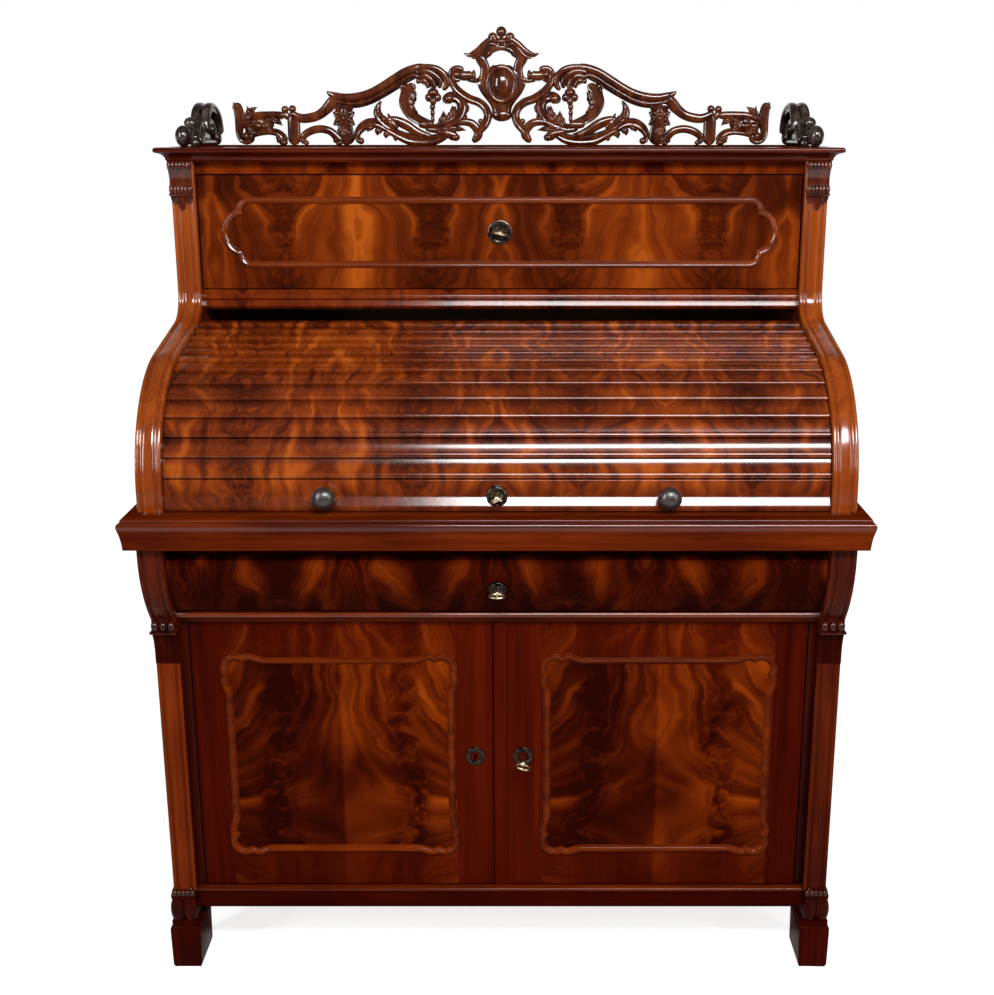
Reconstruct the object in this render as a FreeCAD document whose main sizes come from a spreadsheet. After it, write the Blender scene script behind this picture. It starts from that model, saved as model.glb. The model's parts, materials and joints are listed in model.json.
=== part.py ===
import FreeCAD, Part
import math
import os
import types
import Sketcher

# Driving sizes in millimetres and degrees, front of the desk towards -Y, floor at Z = 0
SIZES = {
    # Whole desk
    "case_width": 1060,
    "total_depth": 620,
    "board": 18,
    "back_board": 10,
    "reveal": 2,
    "running_gap": 0.3,
    # Lower cupboard
    "lower_side": 22,
    "post_width": 38,
    "post_setback": 38,
    "post_back": 107,
    "stile_width": 10,
    "door_setback": 58,
    "door_thickness": 22,
    "meeting_shift": 9,
    "meeting_gap": 1.5,
    "strip_width": 20,
    "strip_thickness": 4,
    "plinth_setback": 45,
    "plinth_height": 33,
    "plinth_top": 135,
    "shelf_drop": 15,
    "shelf_setback": 150,
    "bead_height": 25,
    "bead_setback": 32,
    "low_drawer_space": 97,
    "table_rail_height": 21,
    "table_rail_setback": 8,
    "table_rail_depth": 30,
    # Feet
    "foot_setback": 32,
    "foot_neck": 10,
    "foot_collar": 13,
    "foot_bulb": 40,
    "foot_bulb_swell": 6,
    "back_foot_depth": 60,
    # Consoles beside the lower drawer
    "console_top_setback": -20,
    "console_foot_setback": 18,
    "console_shoulder": 38,
    "console_roll": 22,
    # Writing table
    "writing_height": 785,
    "table_thickness": 47,
    "table_projection": 43,
    "table_overhang": 20,
    "edge_width": 30,
    "edge_step": 6,
    "edge_nose": 9,
    "edge_taper": 10,
    "leather_margin": 52,
    "leather_depth": 160,
    "leather_setback": 42,
    "leather_thickness": 2,
    # Scrolled upper sides
    "side_thickness": 38,
    "facing": 12,
    "upper_setback": 322,
    "scroll_radius": 190,
    "scroll_axis_rise": 27,
    "scroll_slope": 12,
    "scroll_return": 45,
    # Slatted cylinder lid
    "lid_recess": 8,
    "lid_side_gap": 1.5,
    "lid_floor_gap": 1,
    "lid_rail_height": 46,
    "lid_rail_thickness": 20,
    "lid_lap": 2,
    "slat_count": 13,
    "slat_gap": 2,
    "slat_height": 11,
    "slat_glue": 0.3,
    "slat_round": 3.5,
    "slat_bevel": 2.5,
    "lid_backing": 4,
    "lid_end": 10,
    "lid_hub": 20,
    "lid_pin_radius": 6,
    "lid_pin_depth": 15,
    "pivot_clearance": 0.05,
    # Upper case
    "drawer_recess": 15,
    "rail_depth": 20,
    "dust_board": 12,
    "mid_rail_lift": 1.3,
    "mid_rail_height": 35,
    "top_drawer_space": 186,
    "frieze_height": 20,
    "cornice_height": 22,
    "cornice_overhang": 20,
    "cornice_lip": 8,
    "cap_height": 67,
    "cap_thickness": 6,
    # Drawers
    "front_thickness": 20,
    "drawer_side": 10,
    "drawer_bottom": 5,
    "drawer_bottom_lift": 3,
    "top_box_clearance": 20,
    "top_box_height": 150,
    "low_front_back": 48,
    "low_front_setback": -8,
    "low_front_foot_setback": 28,
    "low_front_shoulder": 28,
    "low_box_clearance": 119,
    "low_box_height": 72,
    # Applied mouldings
    "moulding_height": 6,
    "top_moulding_width": 10,
    "top_panel_margin": 34,
    "top_end_radius": 39,
    "top_shoulder_radius": 20,
    "top_shoulder_shift": 9,
    "door_moulding_width": 12,
    "door_panel_side_margin": 43,
    "door_panel_margin": 52,
    "door_panel_middle_margin": 63,
    "ear_radius": 26,
    "ear_step": 9,
    # Locks, keys and knobs
    "lock_width": 60,
    "lock_height": 44,
    "lock_depth": 12,
    "lock_cavity": 11,
    "lock_rim": 1,
    "lock_plate": 2,
    "key_radius": 3,
    "key_clearance": 0.08,
    "key_bit_length": 9,
    "key_bit_width": 5,
    "key_bit_thickness": 2.4,
    "key_slot_clearance": 0.5,
    "key_stand": 16,
    "key_bow": 8,
    "key_bow_wire": 2.2,
    "rosette_radius": 20,
    "escutcheon_radius": 15.5,
    "escutcheon_thickness": 3,
    "door_lock_offset": 38,
    "low_lock_rise": 46,
    "low_plate_radius": 11,
    "low_plate_depth": 22,
    "plate_clearance": 0.05,
    "knob_spread": 253,
    "knob_radius": 16,
    "knob_neck": 7,
    "knob_face": 6,
    "knob_stem": 10,
    "knob_head": 16,
    "knob_round": 9,
    # Door pivots
    "door_pin_radius": 3,
    "door_pin_length": 10,
    "door_pin_inset": 14,
    "door_pin_setback": 7,
    # Nest of pigeonholes on the writing table
    "nest_setback": 215,
    "nest_depth": 100,
    "nest_height": 120,
    "nest_side_gap": 6.5,
    "nest_board": 8,
    "nest_cells": 5,
    "nest_drawer_height": 52,
    "nest_knob": 6,
    # Pierced gallery on the cornice
    "gallery_inset": 22,
    "gallery_thickness": 15,
    "gallery_margin": 58,
    "gallery_wing_height": 138,
    "gallery_height": 200,
    "cartouche_width": 84,
    "gallery_end_inset": 24,
    "gallery_end_thickness": 14,
    "gallery_end_setback": 13,
    "gallery_end_height": 72,
    "gallery_end_frame": 13,
    "gallery_ball": 13,
    "gallery_ball_neck": 6.5,
}

doc = FreeCAD.newDocument("cylinder_desk")
sheet = doc.addObject("Spreadsheet::Sheet", "sizes")
nodes = []


class Size:
    """A length that carries its number and the sheet formula it comes from."""

    def __init__(self, value, text):
        self.value = value
        self.text = text

    def __add__(self, other):
        return Size(self.value + number(other), "(%s + %s)" % (self.text, formula(other)))

    def __radd__(self, other):
        return Size(number(other) + self.value, "(%s + %s)" % (formula(other), self.text))

    def __sub__(self, other):
        return Size(self.value - number(other), "(%s - %s)" % (self.text, formula(other)))

    def __rsub__(self, other):
        return Size(number(other) - self.value, "(%s - %s)" % (formula(other), self.text))

    def __mul__(self, other):
        return Size(self.value * number(other), "(%s * %s)" % (self.text, formula(other)))

    def __rmul__(self, other):
        return Size(number(other) * self.value, "(%s * %s)" % (formula(other), self.text))

    def __truediv__(self, other):
        return Size(self.value / number(other), "(%s / %s)" % (self.text, formula(other)))

    def __neg__(self):
        return Size(-self.value, "(0 - %s)" % self.text)


def number(value):
    return value.value if isinstance(value, Size) else value


def formula(value):
    return value.text if isinstance(value, Size) else repr(value)


def sine(angle):
    return Size(math.sin(math.radians(angle.value)), "sin(%s * 1 deg)" % angle.text)


def cosine(angle):
    return Size(math.cos(math.radians(angle.value)), "cos(%s * 1 deg)" % angle.text)


def square_root(value):
    return Size(math.sqrt(value.value), "sqrt(%s)" % value.text)


def fill_sheet():
    """Write every driving size into the sheet and hand them back by name."""
    sizes = {}
    for row, (name, value) in enumerate(SIZES.items(), start=1):
        sheet.set("A%d" % row, name)
        sheet.set("B%d" % row, str(value))
        sheet.setAlias("B%d" % row, name)
        sizes[name] = Size(value, "sizes.%s" % name)
    doc.recompute()
    return types.SimpleNamespace(**sizes)


d = fill_sheet()


# Building blocks
def bind(item, prop, value):
    item.setExpression(prop, formula(value))


def place(item, x, y, z):
    bind(item, ".Placement.Base.x", x)
    bind(item, ".Placement.Base.y", y)
    bind(item, ".Placement.Base.z", z)


def box(name, x, y, z):
    """A board between two values on each axis."""
    item = doc.addObject("Part::Box", name)
    bind(item, "Length", x[1] - x[0])
    bind(item, "Width", y[1] - y[0])
    bind(item, "Height", z[1] - z[0])
    place(item, x[0], y[0], z[0])
    return item


TURNS = {
    "x": FreeCAD.Rotation(FreeCAD.Vector(0, 1, 0), 90),
    "y": FreeCAD.Rotation(FreeCAD.Vector(1, 0, 0), -90),
    "z": FreeCAD.Rotation(),
}


def rod(name, axis, start, radius, length):
    """A round bar from a start point along +X, +Y or +Z."""
    item = doc.addObject("Part::Cylinder", name)
    item.Placement = FreeCAD.Placement(FreeCAD.Vector(), TURNS[axis])
    bind(item, "Radius", radius)
    bind(item, "Height", length)
    place(item, *start)
    return item


def arc_between(start, end, radius, left):
    """An arc through two points; left turns anticlockwise. Gives the arc and its end numbers."""
    chord = end - start
    rise = math.sqrt(max(radius * radius - chord.Length ** 2 / 4, 0))
    across = FreeCAD.Vector(-chord.y, chord.x, 0).normalize()
    centre = (start + end) * 0.5 + across * (rise if left else -rise)
    first = math.atan2(start.y - centre.y, start.x - centre.x)
    last = math.atan2(end.y - centre.y, end.x - centre.x)
    circle = Part.Circle(centre, FreeCAD.Vector(0, 0, 1), radius)
    if left:
        return Part.ArcOfCircle(circle, first, last), 1, 2
    return Part.ArcOfCircle(circle, last, first), 2, 1


def draw_loop(sketch, corners):
    """A closed outline: a corner is (a, b), or (a, b, radius, left) where an arc leads to it."""
    spots = [FreeCAD.Vector(number(c[0]), number(c[1]), 0) for c in corners]
    runs = []
    for index, corner in enumerate(corners):
        start = spots[index - 1]
        end = spots[index]
        if len(corner) == 4:
            arc, first, last = arc_between(start, end, number(corner[2]), corner[3])
            edge = sketch.addGeometry(arc)
        else:
            edge = sketch.addGeometry(Part.LineSegment(start, end))
            first, last = 1, 2
        runs.append((edge, first, last))
    for index, (edge, first, last) in enumerate(runs):
        ahead = runs[(index + 1) % len(runs)]
        corner = corners[index]
        sketch.addConstraint(Sketcher.Constraint("Coincident", edge, last, ahead[0], ahead[1]))
        for kind, value in (("DistanceX", corner[0]), ("DistanceY", corner[1])):
            tie = sketch.addConstraint(Sketcher.Constraint(kind, -1, 1, edge, last, number(value)))
            sketch.setExpression("Constraints[%d]" % tie, formula(value))
        if len(corner) == 4:
            tie = sketch.addConstraint(Sketcher.Constraint("Radius", edge, number(corner[2])))
            sketch.setExpression("Constraints[%d]" % tie, formula(corner[2]))


def draw_circle(sketch, a, b, radius):
    spot = FreeCAD.Vector(number(a), number(b), 0)
    ring = sketch.addGeometry(Part.Circle(spot, FreeCAD.Vector(0, 0, 1), number(radius)))
    for kind, value in (("DistanceX", a), ("DistanceY", b)):
        tie = sketch.addConstraint(Sketcher.Constraint(kind, -1, 1, ring, 3, number(value)))
        sketch.setExpression("Constraints[%d]" % tie, formula(value))
    tie = sketch.addConstraint(Sketcher.Constraint("Radius", ring, number(radius)))
    sketch.setExpression("Constraints[%d]" % tie, formula(radius))


def new_sketch(body, name, role):
    sketch = body.newObject("Sketcher::SketchObject", name + "_sketch")
    plane = [item for item in body.Origin.OriginFeatures if item.Role == role][0]
    sketch.AttachmentSupport = [(plane, "")]
    sketch.MapMode = "FlatFace"
    return sketch


def pad(name, role, loops, length, holes=()):
    """A body padded from closed outlines on one of its own planes, with round holes."""
    body = doc.addObject("PartDesign::Body", name)
    sketch = new_sketch(body, name, role)
    for loop in loops:
        draw_loop(sketch, loop)
    for hole in holes:
        draw_circle(sketch, *hole)
    block = body.newObject("PartDesign::Pad", name + "_pad")
    block.Profile = sketch
    bind(block, "Length", length)
    return body


def pad_x(name, loops, x):
    """Outlines in (y, z) padded along X."""
    body = pad(name, "YZ_Plane", loops, x[1] - x[0])
    bind(body, ".Placement.Base.x", x[0])
    return body


def pad_y(name, loops, y, holes=()):
    """Outlines in (x, z) padded along Y."""
    body = pad(name, "XZ_Plane", loops, y[1] - y[0], holes)
    bind(body, ".Placement.Base.y", y[1])
    return body


def pad_z(name, loops, z):
    """Outlines in (x, y) padded along Z."""
    body = pad(name, "XY_Plane", loops, z[1] - z[0])
    bind(body, ".Placement.Base.z", z[0])
    return body


def turned(name, outline, x, y, z):
    """A piece turned about Y from a half outline in (y, radius)."""
    body = doc.addObject("PartDesign::Body", name)
    sketch = new_sketch(body, name, "YZ_Plane")
    draw_loop(sketch, outline)
    spin = body.newObject("PartDesign::Revolution", name + "_turn")
    spin.Profile = sketch
    spin.ReferenceAxis = (sketch, ["H_Axis"])
    place(body, x, y, z)
    return body


def join(name, items):
    whole = doc.addObject("Part::MultiFuse", name)
    whole.Shapes = items
    return whole


def cut(name, base, tools):
    tool = tools[0] if len(tools) == 1 else join(name + "_tools", tools)
    whole = doc.addObject("Part::Cut", name)
    whole.Base = base
    whole.Tool = tool
    return whole


def overlap_of(name, first, second):
    whole = doc.addObject("Part::Common", name)
    whole.Base = first
    whole.Tool = second
    return whole


def node(name, items):
    """One node of the assembly: a single piece, or a group of separate solids."""
    if len(items) == 1:
        whole = items[0]
    else:
        whole = doc.addObject("Part::Compound", name + "_group")
        whole.Links = items
    whole.Label = name
    nodes.append(whole)
    return whole


def both_sides(inner, outer):
    """The same span on the left and on the right."""
    return ((-outer, -inner), (inner, outer))


# Shared places
side_front = d.table_projection - d.total_depth / 2
back = d.total_depth / 2
back_face = back - d.back_board
outer_x = d.case_width / 2
inner_x = outer_x - d.side_thickness
post_x = outer_x - d.post_width
lower_x = outer_x - d.lower_side
post_back = side_front + d.post_back
door_front = side_front + d.door_setback
door_back = door_front + d.door_thickness
table_bottom = d.writing_height - d.table_thickness
table_rail_bottom = table_bottom - d.table_rail_height
drawer_floor = table_rail_bottom - d.low_drawer_space
cupboard_top = drawer_floor - d.bead_height
plinth_bottom = d.plinth_top - d.plinth_height
door_middle = (d.plinth_top + cupboard_top) / 2
upper_front = side_front + d.upper_setback
drawer_face = upper_front + d.drawer_recess
lid_axis_y = side_front + d.scroll_radius
lid_axis_z = d.writing_height + d.scroll_axis_rise


def full(half):
    return (-half, half)


def scroll_turn_height():
    """Level at which the scroll's hollow return meets the upright."""
    rise = sine(d.scroll_slope)
    run = cosine(d.scroll_slope)
    slope_start = (lid_axis_y - d.scroll_radius * rise, lid_axis_z + d.scroll_radius * run)
    slope_end = upper_front - d.scroll_return + d.scroll_return * rise
    return slope_start[1] + (slope_end - slope_start[0]) * rise / run + d.scroll_return * run


mid_rail_top = scroll_turn_height() + d.mid_rail_lift
mid_rail_bottom = mid_rail_top - d.mid_rail_height
frieze_bottom = mid_rail_top + d.top_drawer_space
cornice_bottom = frieze_bottom + d.frieze_height
cornice_top = cornice_bottom + d.cornice_height
gallery_front = back - d.gallery_inset - d.gallery_thickness


# Lower cupboard
def lower_case():
    sides = []
    for span in both_sides(lower_x, outer_x):
        sides.append(box("lower_side", span, (post_back, back), (plinth_bottom, table_bottom)))
    node("lower_sides", sides)
    node("lower_back", [box("lower_back", full(lower_x), (back_face, back), (plinth_bottom, table_bottom))])
    depth = (post_back, back_face)
    floor = box("cupboard_floor", full(lower_x), depth, (d.plinth_top - d.board, d.plinth_top))
    node("cupboard_floor", [floor])
    shelf_depth = (side_front + d.shelf_setback, back_face)
    shelf_bottom = door_middle - d.shelf_drop
    shelf = box("cupboard_shelf", full(lower_x), shelf_depth, (shelf_bottom, shelf_bottom + d.board))
    node("cupboard_shelf", [shelf])
    ceiling = box("drawer_board", full(lower_x), depth, (drawer_floor - d.board, drawer_floor))
    node("drawer_board", [ceiling])
    plinth_depth = (side_front + d.plinth_setback, post_back)
    plinth = box("plinth_board", full(post_x), plinth_depth, (plinth_bottom, d.plinth_top))
    node("plinth_rail", [cut("plinth_rail", plinth, door_pin_holes("plinth", d.plinth_top, -1))])
    bead_depth = (side_front + d.bead_setback, post_back)
    bead = box("bead_board", full(post_x), bead_depth, (cupboard_top, drawer_floor))
    node("bead_rail", [cut("bead_rail", bead, door_pin_holes("bead", cupboard_top, 1))])
    rail_front = side_front + d.table_rail_setback
    rail_depth = (rail_front, rail_front + d.table_rail_depth)
    node("table_rail", [box("table_rail", full(post_x), rail_depth, (table_rail_bottom, table_bottom))])


def pilasters():
    """Front posts with a stile beside the door, one L-shaped piece on each side."""
    posts = []
    front = side_front + d.post_setback
    stile = post_x - d.stile_width
    for sign in (-1, 1):
        outline = [
            (sign * outer_x, front),
            (sign * outer_x, post_back),
            (sign * stile, post_back),
            (sign * stile, door_front),
            (sign * post_x, door_front),
            (sign * post_x, front),
        ]
        posts.append(pad_z("pilaster", [outline], (d.plinth_top, cupboard_top)))
    node("pilasters", posts)


def feet():
    """Front feet with a block, neck and bulb; plain blocks at the back."""
    front = side_front + d.foot_setback
    bulb_top = d.plinth_top - d.foot_collar
    neck_top = bulb_top - d.foot_bulb
    block_top = neck_top - d.foot_neck
    half_bulb = d.foot_bulb / 2
    swell = d.foot_bulb_swell
    bulb_radius = (half_bulb * half_bulb + swell * swell) / (2 * swell)
    waist = front + swell
    outline = [
        (front, 0),
        (post_back, 0),
        (post_back, d.plinth_top),
        (waist, d.plinth_top),
        (waist, bulb_top),
        (waist, neck_top, bulb_radius, True),
        (waist, block_top),
        (front, block_top),
    ]
    rear = (back - d.back_foot_depth, back)
    blocks = []
    for span in both_sides(post_x, outer_x):
        blocks.append(pad_x("front_foot", [outline], span))
        blocks.append(box("back_foot", span, rear, (0, plinth_bottom)))
    node("feet", blocks)


def ogee(front, foot, top, bottom):
    """Corners of an ogee that leaves a vertical at the top and meets one at the bottom."""
    rise = top - bottom
    run = foot - front
    radius = (rise * rise + run * run) / (4 * run)
    return [
        (front, top),
        (front + run / 2, bottom + rise / 2, radius, True),
        (foot, bottom, radius, False),
    ]


def consoles():
    front = side_front + d.console_top_setback
    foot = side_front + d.console_foot_setback
    curve_top = table_bottom - d.console_shoulder
    curve_bottom = cupboard_top + d.console_roll
    outline = [(post_back, table_bottom), (front, table_bottom)]
    outline += ogee(front, foot, curve_top, curve_bottom)
    outline += [(foot, cupboard_top), (post_back, cupboard_top)]
    node("consoles", [pad_x("console", [outline], span) for span in both_sides(post_x, outer_x)])


# Writing table with a moulded edge on three sides
def edge_corners(tip, inward, top, bottom):
    """Edge profile from the top face round the nose to the underside; inward points to the board."""
    nose_top = top - d.edge_step
    nose_bottom = nose_top - 2 * d.edge_nose
    left = number(inward) > 0
    return [
        (tip + inward * d.edge_nose, top),
        (tip + inward * d.edge_nose, nose_top),
        (tip, nose_top - d.edge_nose, d.edge_nose, left),
        (tip, nose_bottom),
        (tip + inward * d.edge_taper, bottom),
    ]


def writing_table():
    front = side_front - d.table_projection
    half = outer_x + d.table_overhang
    top = d.writing_height
    section = [(back, top)] + edge_corners(front, 1, top, table_bottom) + [(back, table_bottom)]
    along = pad_x("edge_along", [section], full(half))
    left_edge = edge_corners(-half, 1, top, table_bottom)
    right_edge = edge_corners(half, -1, top, table_bottom)
    across = pad_y("edge_across", [left_edge + right_edge[::-1]], (front, back))
    slab = overlap_of("edge_slab", along, across)
    field_x = full(half - d.edge_width)
    field_y = (front + d.edge_width, back)
    node("table_edge", [cut("table_edge", slab, [box("edge_field", field_x, field_y, (table_bottom, top))])])
    leather_y = side_front + d.leather_setback
    leather_span = (full(inner_x - d.leather_margin), (leather_y, leather_y + d.leather_depth))
    leather_z = (top - d.leather_thickness, top)
    field = box("table_field", field_x, field_y, (table_bottom, top))
    node("writing_top", [cut("writing_top", field, [box("leather_bed", *leather_span, leather_z)])])
    node("writing_leather", [box("writing_leather", *leather_span, leather_z)])


# Scrolled sides and the lid that follows them
def scroll_corners(inset):
    """The scroll from the writing table to the upright, set in from the side's front edge."""
    lean = 90 - d.scroll_slope
    rise = sine(d.scroll_slope)
    run = cosine(d.scroll_slope)
    inner = d.scroll_radius - inset
    arc_end = (lid_axis_y - inner * cosine(lean), lid_axis_z + inner * sine(lean))
    turn_y = upper_front - d.scroll_return
    turn_z = scroll_turn_height()
    outer = d.scroll_return + inset
    return [
        (side_front + inset, d.writing_height),
        (side_front + inset, lid_axis_z),
        (*arc_end, inner, False),
        (turn_y + outer * rise, turn_z - outer * run),
        (turn_y + outer, turn_z, outer, True),
        (turn_y + outer, cornice_bottom),
    ]


def reverse_run(corners):
    """The same run walked backwards, with each arc moved to its other end and turned."""
    result = []
    bend = None
    for corner in reversed(corners):
        spot = (corner[0], corner[1])
        result.append(spot if bend is None else spot + bend)
        bend = (corner[2], not corner[3]) if len(corner) == 4 else None
    return result


def upper_sides():
    outline = scroll_corners(d.facing) + [(back, cornice_bottom), (back, d.writing_height)]
    spans = both_sides(inner_x, outer_x)
    reach = inner_x + d.lid_pin_depth
    for name, span, start in (("left", spans[0], -reach), ("right", spans[1], inner_x)):
        panel = pad_x("upper_panel_" + name, [outline], span)
        bore = d.lid_pin_radius + d.pivot_clearance
        hole = rod("lid_socket_" + name, "x", (start, lid_axis_y, lid_axis_z), bore, d.lid_pin_depth)
        node("upper_side_" + name, [cut("upper_side_" + name, panel, [hole])])
    band = scroll_corners(0) + reverse_run(scroll_corners(d.facing))
    node("side_facings", [pad_x("side_facing", [band], span) for span in spans])


def lid_frame(distance, inset):
    """Point and lean of the lid's face at a distance along it from the top of its rail."""
    face = d.lid_recess.value
    radius = d.scroll_radius.value - face
    slope = math.radians(d.scroll_slope.value)
    start = lid_start().value
    turn = math.pi / 2 - slope
    angle = min(start + distance / radius, turn)
    beyond = max(distance - (turn - start) * radius, 0)
    y = lid_axis_y.value - (radius - inset) * math.cos(angle) + beyond * math.sin(angle)
    z = lid_axis_z.value + (radius - inset) * math.sin(angle) + beyond * math.cos(angle)
    return y, z


def lid_half():
    return inner_x - d.lid_side_gap


def lid_slats():
    """Slats laid side by side along the lid's curve, each with a rounded lower edge."""
    half = lid_half().value
    pitch = lid_length().value / d.slat_count.value
    gap = d.slat_gap.value / 2
    depth = d.slat_height.value - d.slat_glue.value
    bead = d.slat_round.value
    bevel = d.slat_bevel.value
    crown = bead * (1 - math.sqrt(0.5))
    slats = []
    for index in range(int(d.slat_count.value)):
        low = index * pitch + gap
        high = (index + 1) * pitch - gap
        spots = [
            lid_frame(low, depth),
            lid_frame(low, bead),
            lid_frame(low + crown, crown),
            lid_frame(low + bead, 0),
            lid_frame((low + high) / 2, 0),
            lid_frame(high - bevel, 0),
            lid_frame(high, bevel),
            lid_frame(high, depth),
            lid_frame((low + high) / 2, depth),
        ]
        points = [FreeCAD.Vector(-half, y, z) for y, z in spots]
        edges = [
            Part.LineSegment(points[0], points[1]).toShape(),
            Part.Arc(points[1], points[2], points[3]).toShape(),
            smooth_edge(points[3], points[4], points[5]),
            Part.LineSegment(points[5], points[6]).toShape(),
            Part.LineSegment(points[6], points[7]).toShape(),
            smooth_edge(points[7], points[8], points[0]),
        ]
        slats.append(Part.Face(Part.Wire(edges)).extrude(FreeCAD.Vector(2 * half, 0, 0)))
    item = doc.addObject("Part::Feature", "lid_slats")
    item.Shape = Part.Compound(slats)
    item.Placement = FreeCAD.Placement()
    node("lid_slats", [item])


def smooth_edge(start, middle, end):
    """An arc through three points, or a straight edge where they lie in line."""
    bow = (middle - start).cross(end - start).Length / (end - start).Length
    if bow < 0.001:
        return Part.LineSegment(start, end).toShape()
    return Part.Arc(start, middle, end).toShape()


def lid_rise():
    """Height of the lid rail's top above the lid's axis."""
    return d.writing_height + d.lid_floor_gap + d.lid_rail_height - lid_axis_z


def lid_start():
    """Angle above the axis at which the first slat's inner edge rests on the rail."""
    share = lid_rise() / (d.scroll_radius - d.lid_recess - d.slat_height)
    return Size(math.asin(share.value), "(asin(%s) / 1 rad)" % share.text)


def lid_straight():
    """Length of the lid's straight slope, up to where it laps the upper case."""
    face = d.scroll_radius - d.lid_recess
    slope_start = lid_axis_y - face * sine(d.scroll_slope)
    return (upper_front + d.lid_lap - slope_start) / cosine(d.scroll_slope)


def lid_length():
    """Length along the slats' face, round the arc and up the slope."""
    face = d.scroll_radius - d.lid_recess
    turn = Size(math.radians(90 - d.scroll_slope.value), "((90 - %s) * 1 deg / 1 rad)" % d.scroll_slope.text)
    return face * (turn - lid_start()) + lid_straight()


def lid_run(inset):
    """Corners of the lid's curve above its rail, at an inset from the slats' face."""
    slope_sine = sine(d.scroll_slope)
    slope_cosine = cosine(d.scroll_slope)
    face = d.scroll_radius - d.lid_recess
    radius = face - inset
    turn_z = lid_axis_z + radius * slope_cosine
    turn_y = lid_axis_y - radius * slope_sine
    straight = lid_straight()
    rise = lid_rise()
    return [
        (lid_axis_y - square_root(radius * radius - rise * rise), lid_axis_z + rise),
        (turn_y, turn_z, radius, False),
        (turn_y + straight * slope_cosine, turn_z + straight * slope_sine),
    ]


def lid():
    lid_slats()
    half = lid_half()
    outer = lid_run(d.slat_height)
    inner = lid_run(d.slat_height + d.lid_backing)
    node("lid_backing", [pad_x("lid_backing", [outer + reverse_run(inner)], full(half))])
    rail_front = side_front + d.lid_recess
    rail_depth = (rail_front, rail_front + d.lid_rail_thickness)
    rail_bottom = d.writing_height + d.lid_floor_gap
    rail_top = rail_bottom + d.lid_rail_height
    rail = box("lid_board", full(half), rail_depth, (rail_bottom, rail_top))
    lock_z = rail_bottom + d.lid_rail_height / 2
    lock_height = d.lid_rail_height - 2 * d.lock_rim
    plate = (rail_front - d.escutcheon_thickness, d.escutcheon_radius, d.escutcheon_thickness)
    fit_lock("lid", "lid_rail", rail, (0, lock_z), rail_depth[1], plate, lock_height)
    hub_bottom = lid_axis_z - d.lid_hub
    quadrant = [
        (rail_depth[1], hub_bottom),
        (rail_depth[1], rail_top),
        *inner,
        (lid_axis_y + d.lid_hub, lid_axis_z),
        (lid_axis_y, hub_bottom, d.lid_hub, False),
    ]
    ends = []
    bore_radius = d.lid_pin_radius + d.pivot_clearance
    for span in both_sides(half - d.lid_end, half):
        board = pad_x("lid_end_board", [quadrant], span)
        bore = rod("lid_bore", "x", (span[0], lid_axis_y, lid_axis_z), bore_radius, d.lid_end)
        ends.append(cut("lid_end", board, [bore]))
    node("lid_ends", ends)
    pins = []
    length = d.lid_pin_depth + d.lid_side_gap + d.lid_end
    for start in (-(inner_x + d.lid_pin_depth), half - d.lid_end):
        pins.append(rod("lid_pin", "x", (start, lid_axis_y, lid_axis_z), d.lid_pin_radius, length))
    lid_knobs(rail_front, lock_z)
    return pins


def lid_knobs(face, level):
    """Two turned knobs with a neck, a round head and a small flat tip."""
    tip = -(d.knob_stem + d.knob_head)
    widest = -(d.knob_stem + d.knob_head / 2)
    outline = [
        (tip, 0),
        (0, 0),
        (0, d.knob_neck),
        (-d.knob_stem, d.knob_neck),
        (widest, d.knob_radius, d.knob_round, True),
        (tip, d.knob_face, d.knob_round, True),
    ]
    knobs = [turned("lid_knob", outline, x, face, level) for x in (-d.knob_spread, d.knob_spread)]
    node("lid_knobs", knobs)


# Upper case
def upper_case():
    span = full(inner_x)
    node("upper_back", [box("upper_back", span, (back_face, back), (d.writing_height, cornice_bottom))])
    rail = (drawer_face, drawer_face + d.rail_depth)
    node("mid_rail", [box("mid_rail", span, rail, (mid_rail_bottom, mid_rail_top))])
    node("frieze_rail", [box("frieze_rail", span, rail, (frieze_bottom, cornice_bottom))])
    dust = (mid_rail_top - d.dust_board, mid_rail_top)
    node("dust_board", [box("dust_board", span, (rail[1], back_face), dust)])
    top_z = (cornice_bottom, cornice_top)
    node("top_board", [box("top_board", full(outer_x), (upper_front, back), top_z)])
    caps = []
    cap_y = (upper_front - d.cap_thickness, upper_front)
    cap_z = (cornice_bottom - d.cap_height, cornice_bottom)
    for place_x in both_sides(inner_x, outer_x):
        caps.append(box("pilaster_cap", place_x, cap_y, cap_z))
    node("pilaster_caps", caps)
    cornice()


def cornice():
    """A lip above a cove, mitred round the front and both sides."""
    half = outer_x + d.cornice_overhang
    front = upper_front - d.cornice_overhang
    lip = cornice_top - d.cornice_lip
    cove = lip - cornice_bottom
    lip_step = d.cornice_overhang - cove

    def edge(tip, inward):
        return [
            (tip, cornice_top),
            (tip, lip),
            (tip + inward * lip_step, lip),
            (tip + inward * d.cornice_overhang, cornice_bottom, cove, inward < 0),
        ]

    section = [(back, cornice_top)] + edge(front, 1) + [(back, cornice_bottom)]
    along = pad_x("cornice_along", [section], full(half))
    across = pad_y("cornice_across", [edge(-half, 1) + reverse_run(edge(half, -1))], (front, back))
    slab = overlap_of("cornice_slab", along, across)
    core = box("cornice_core", full(outer_x), (upper_front, back), (cornice_bottom, cornice_top))
    node("cornice", [cut("cornice", slab, [core])])


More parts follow.
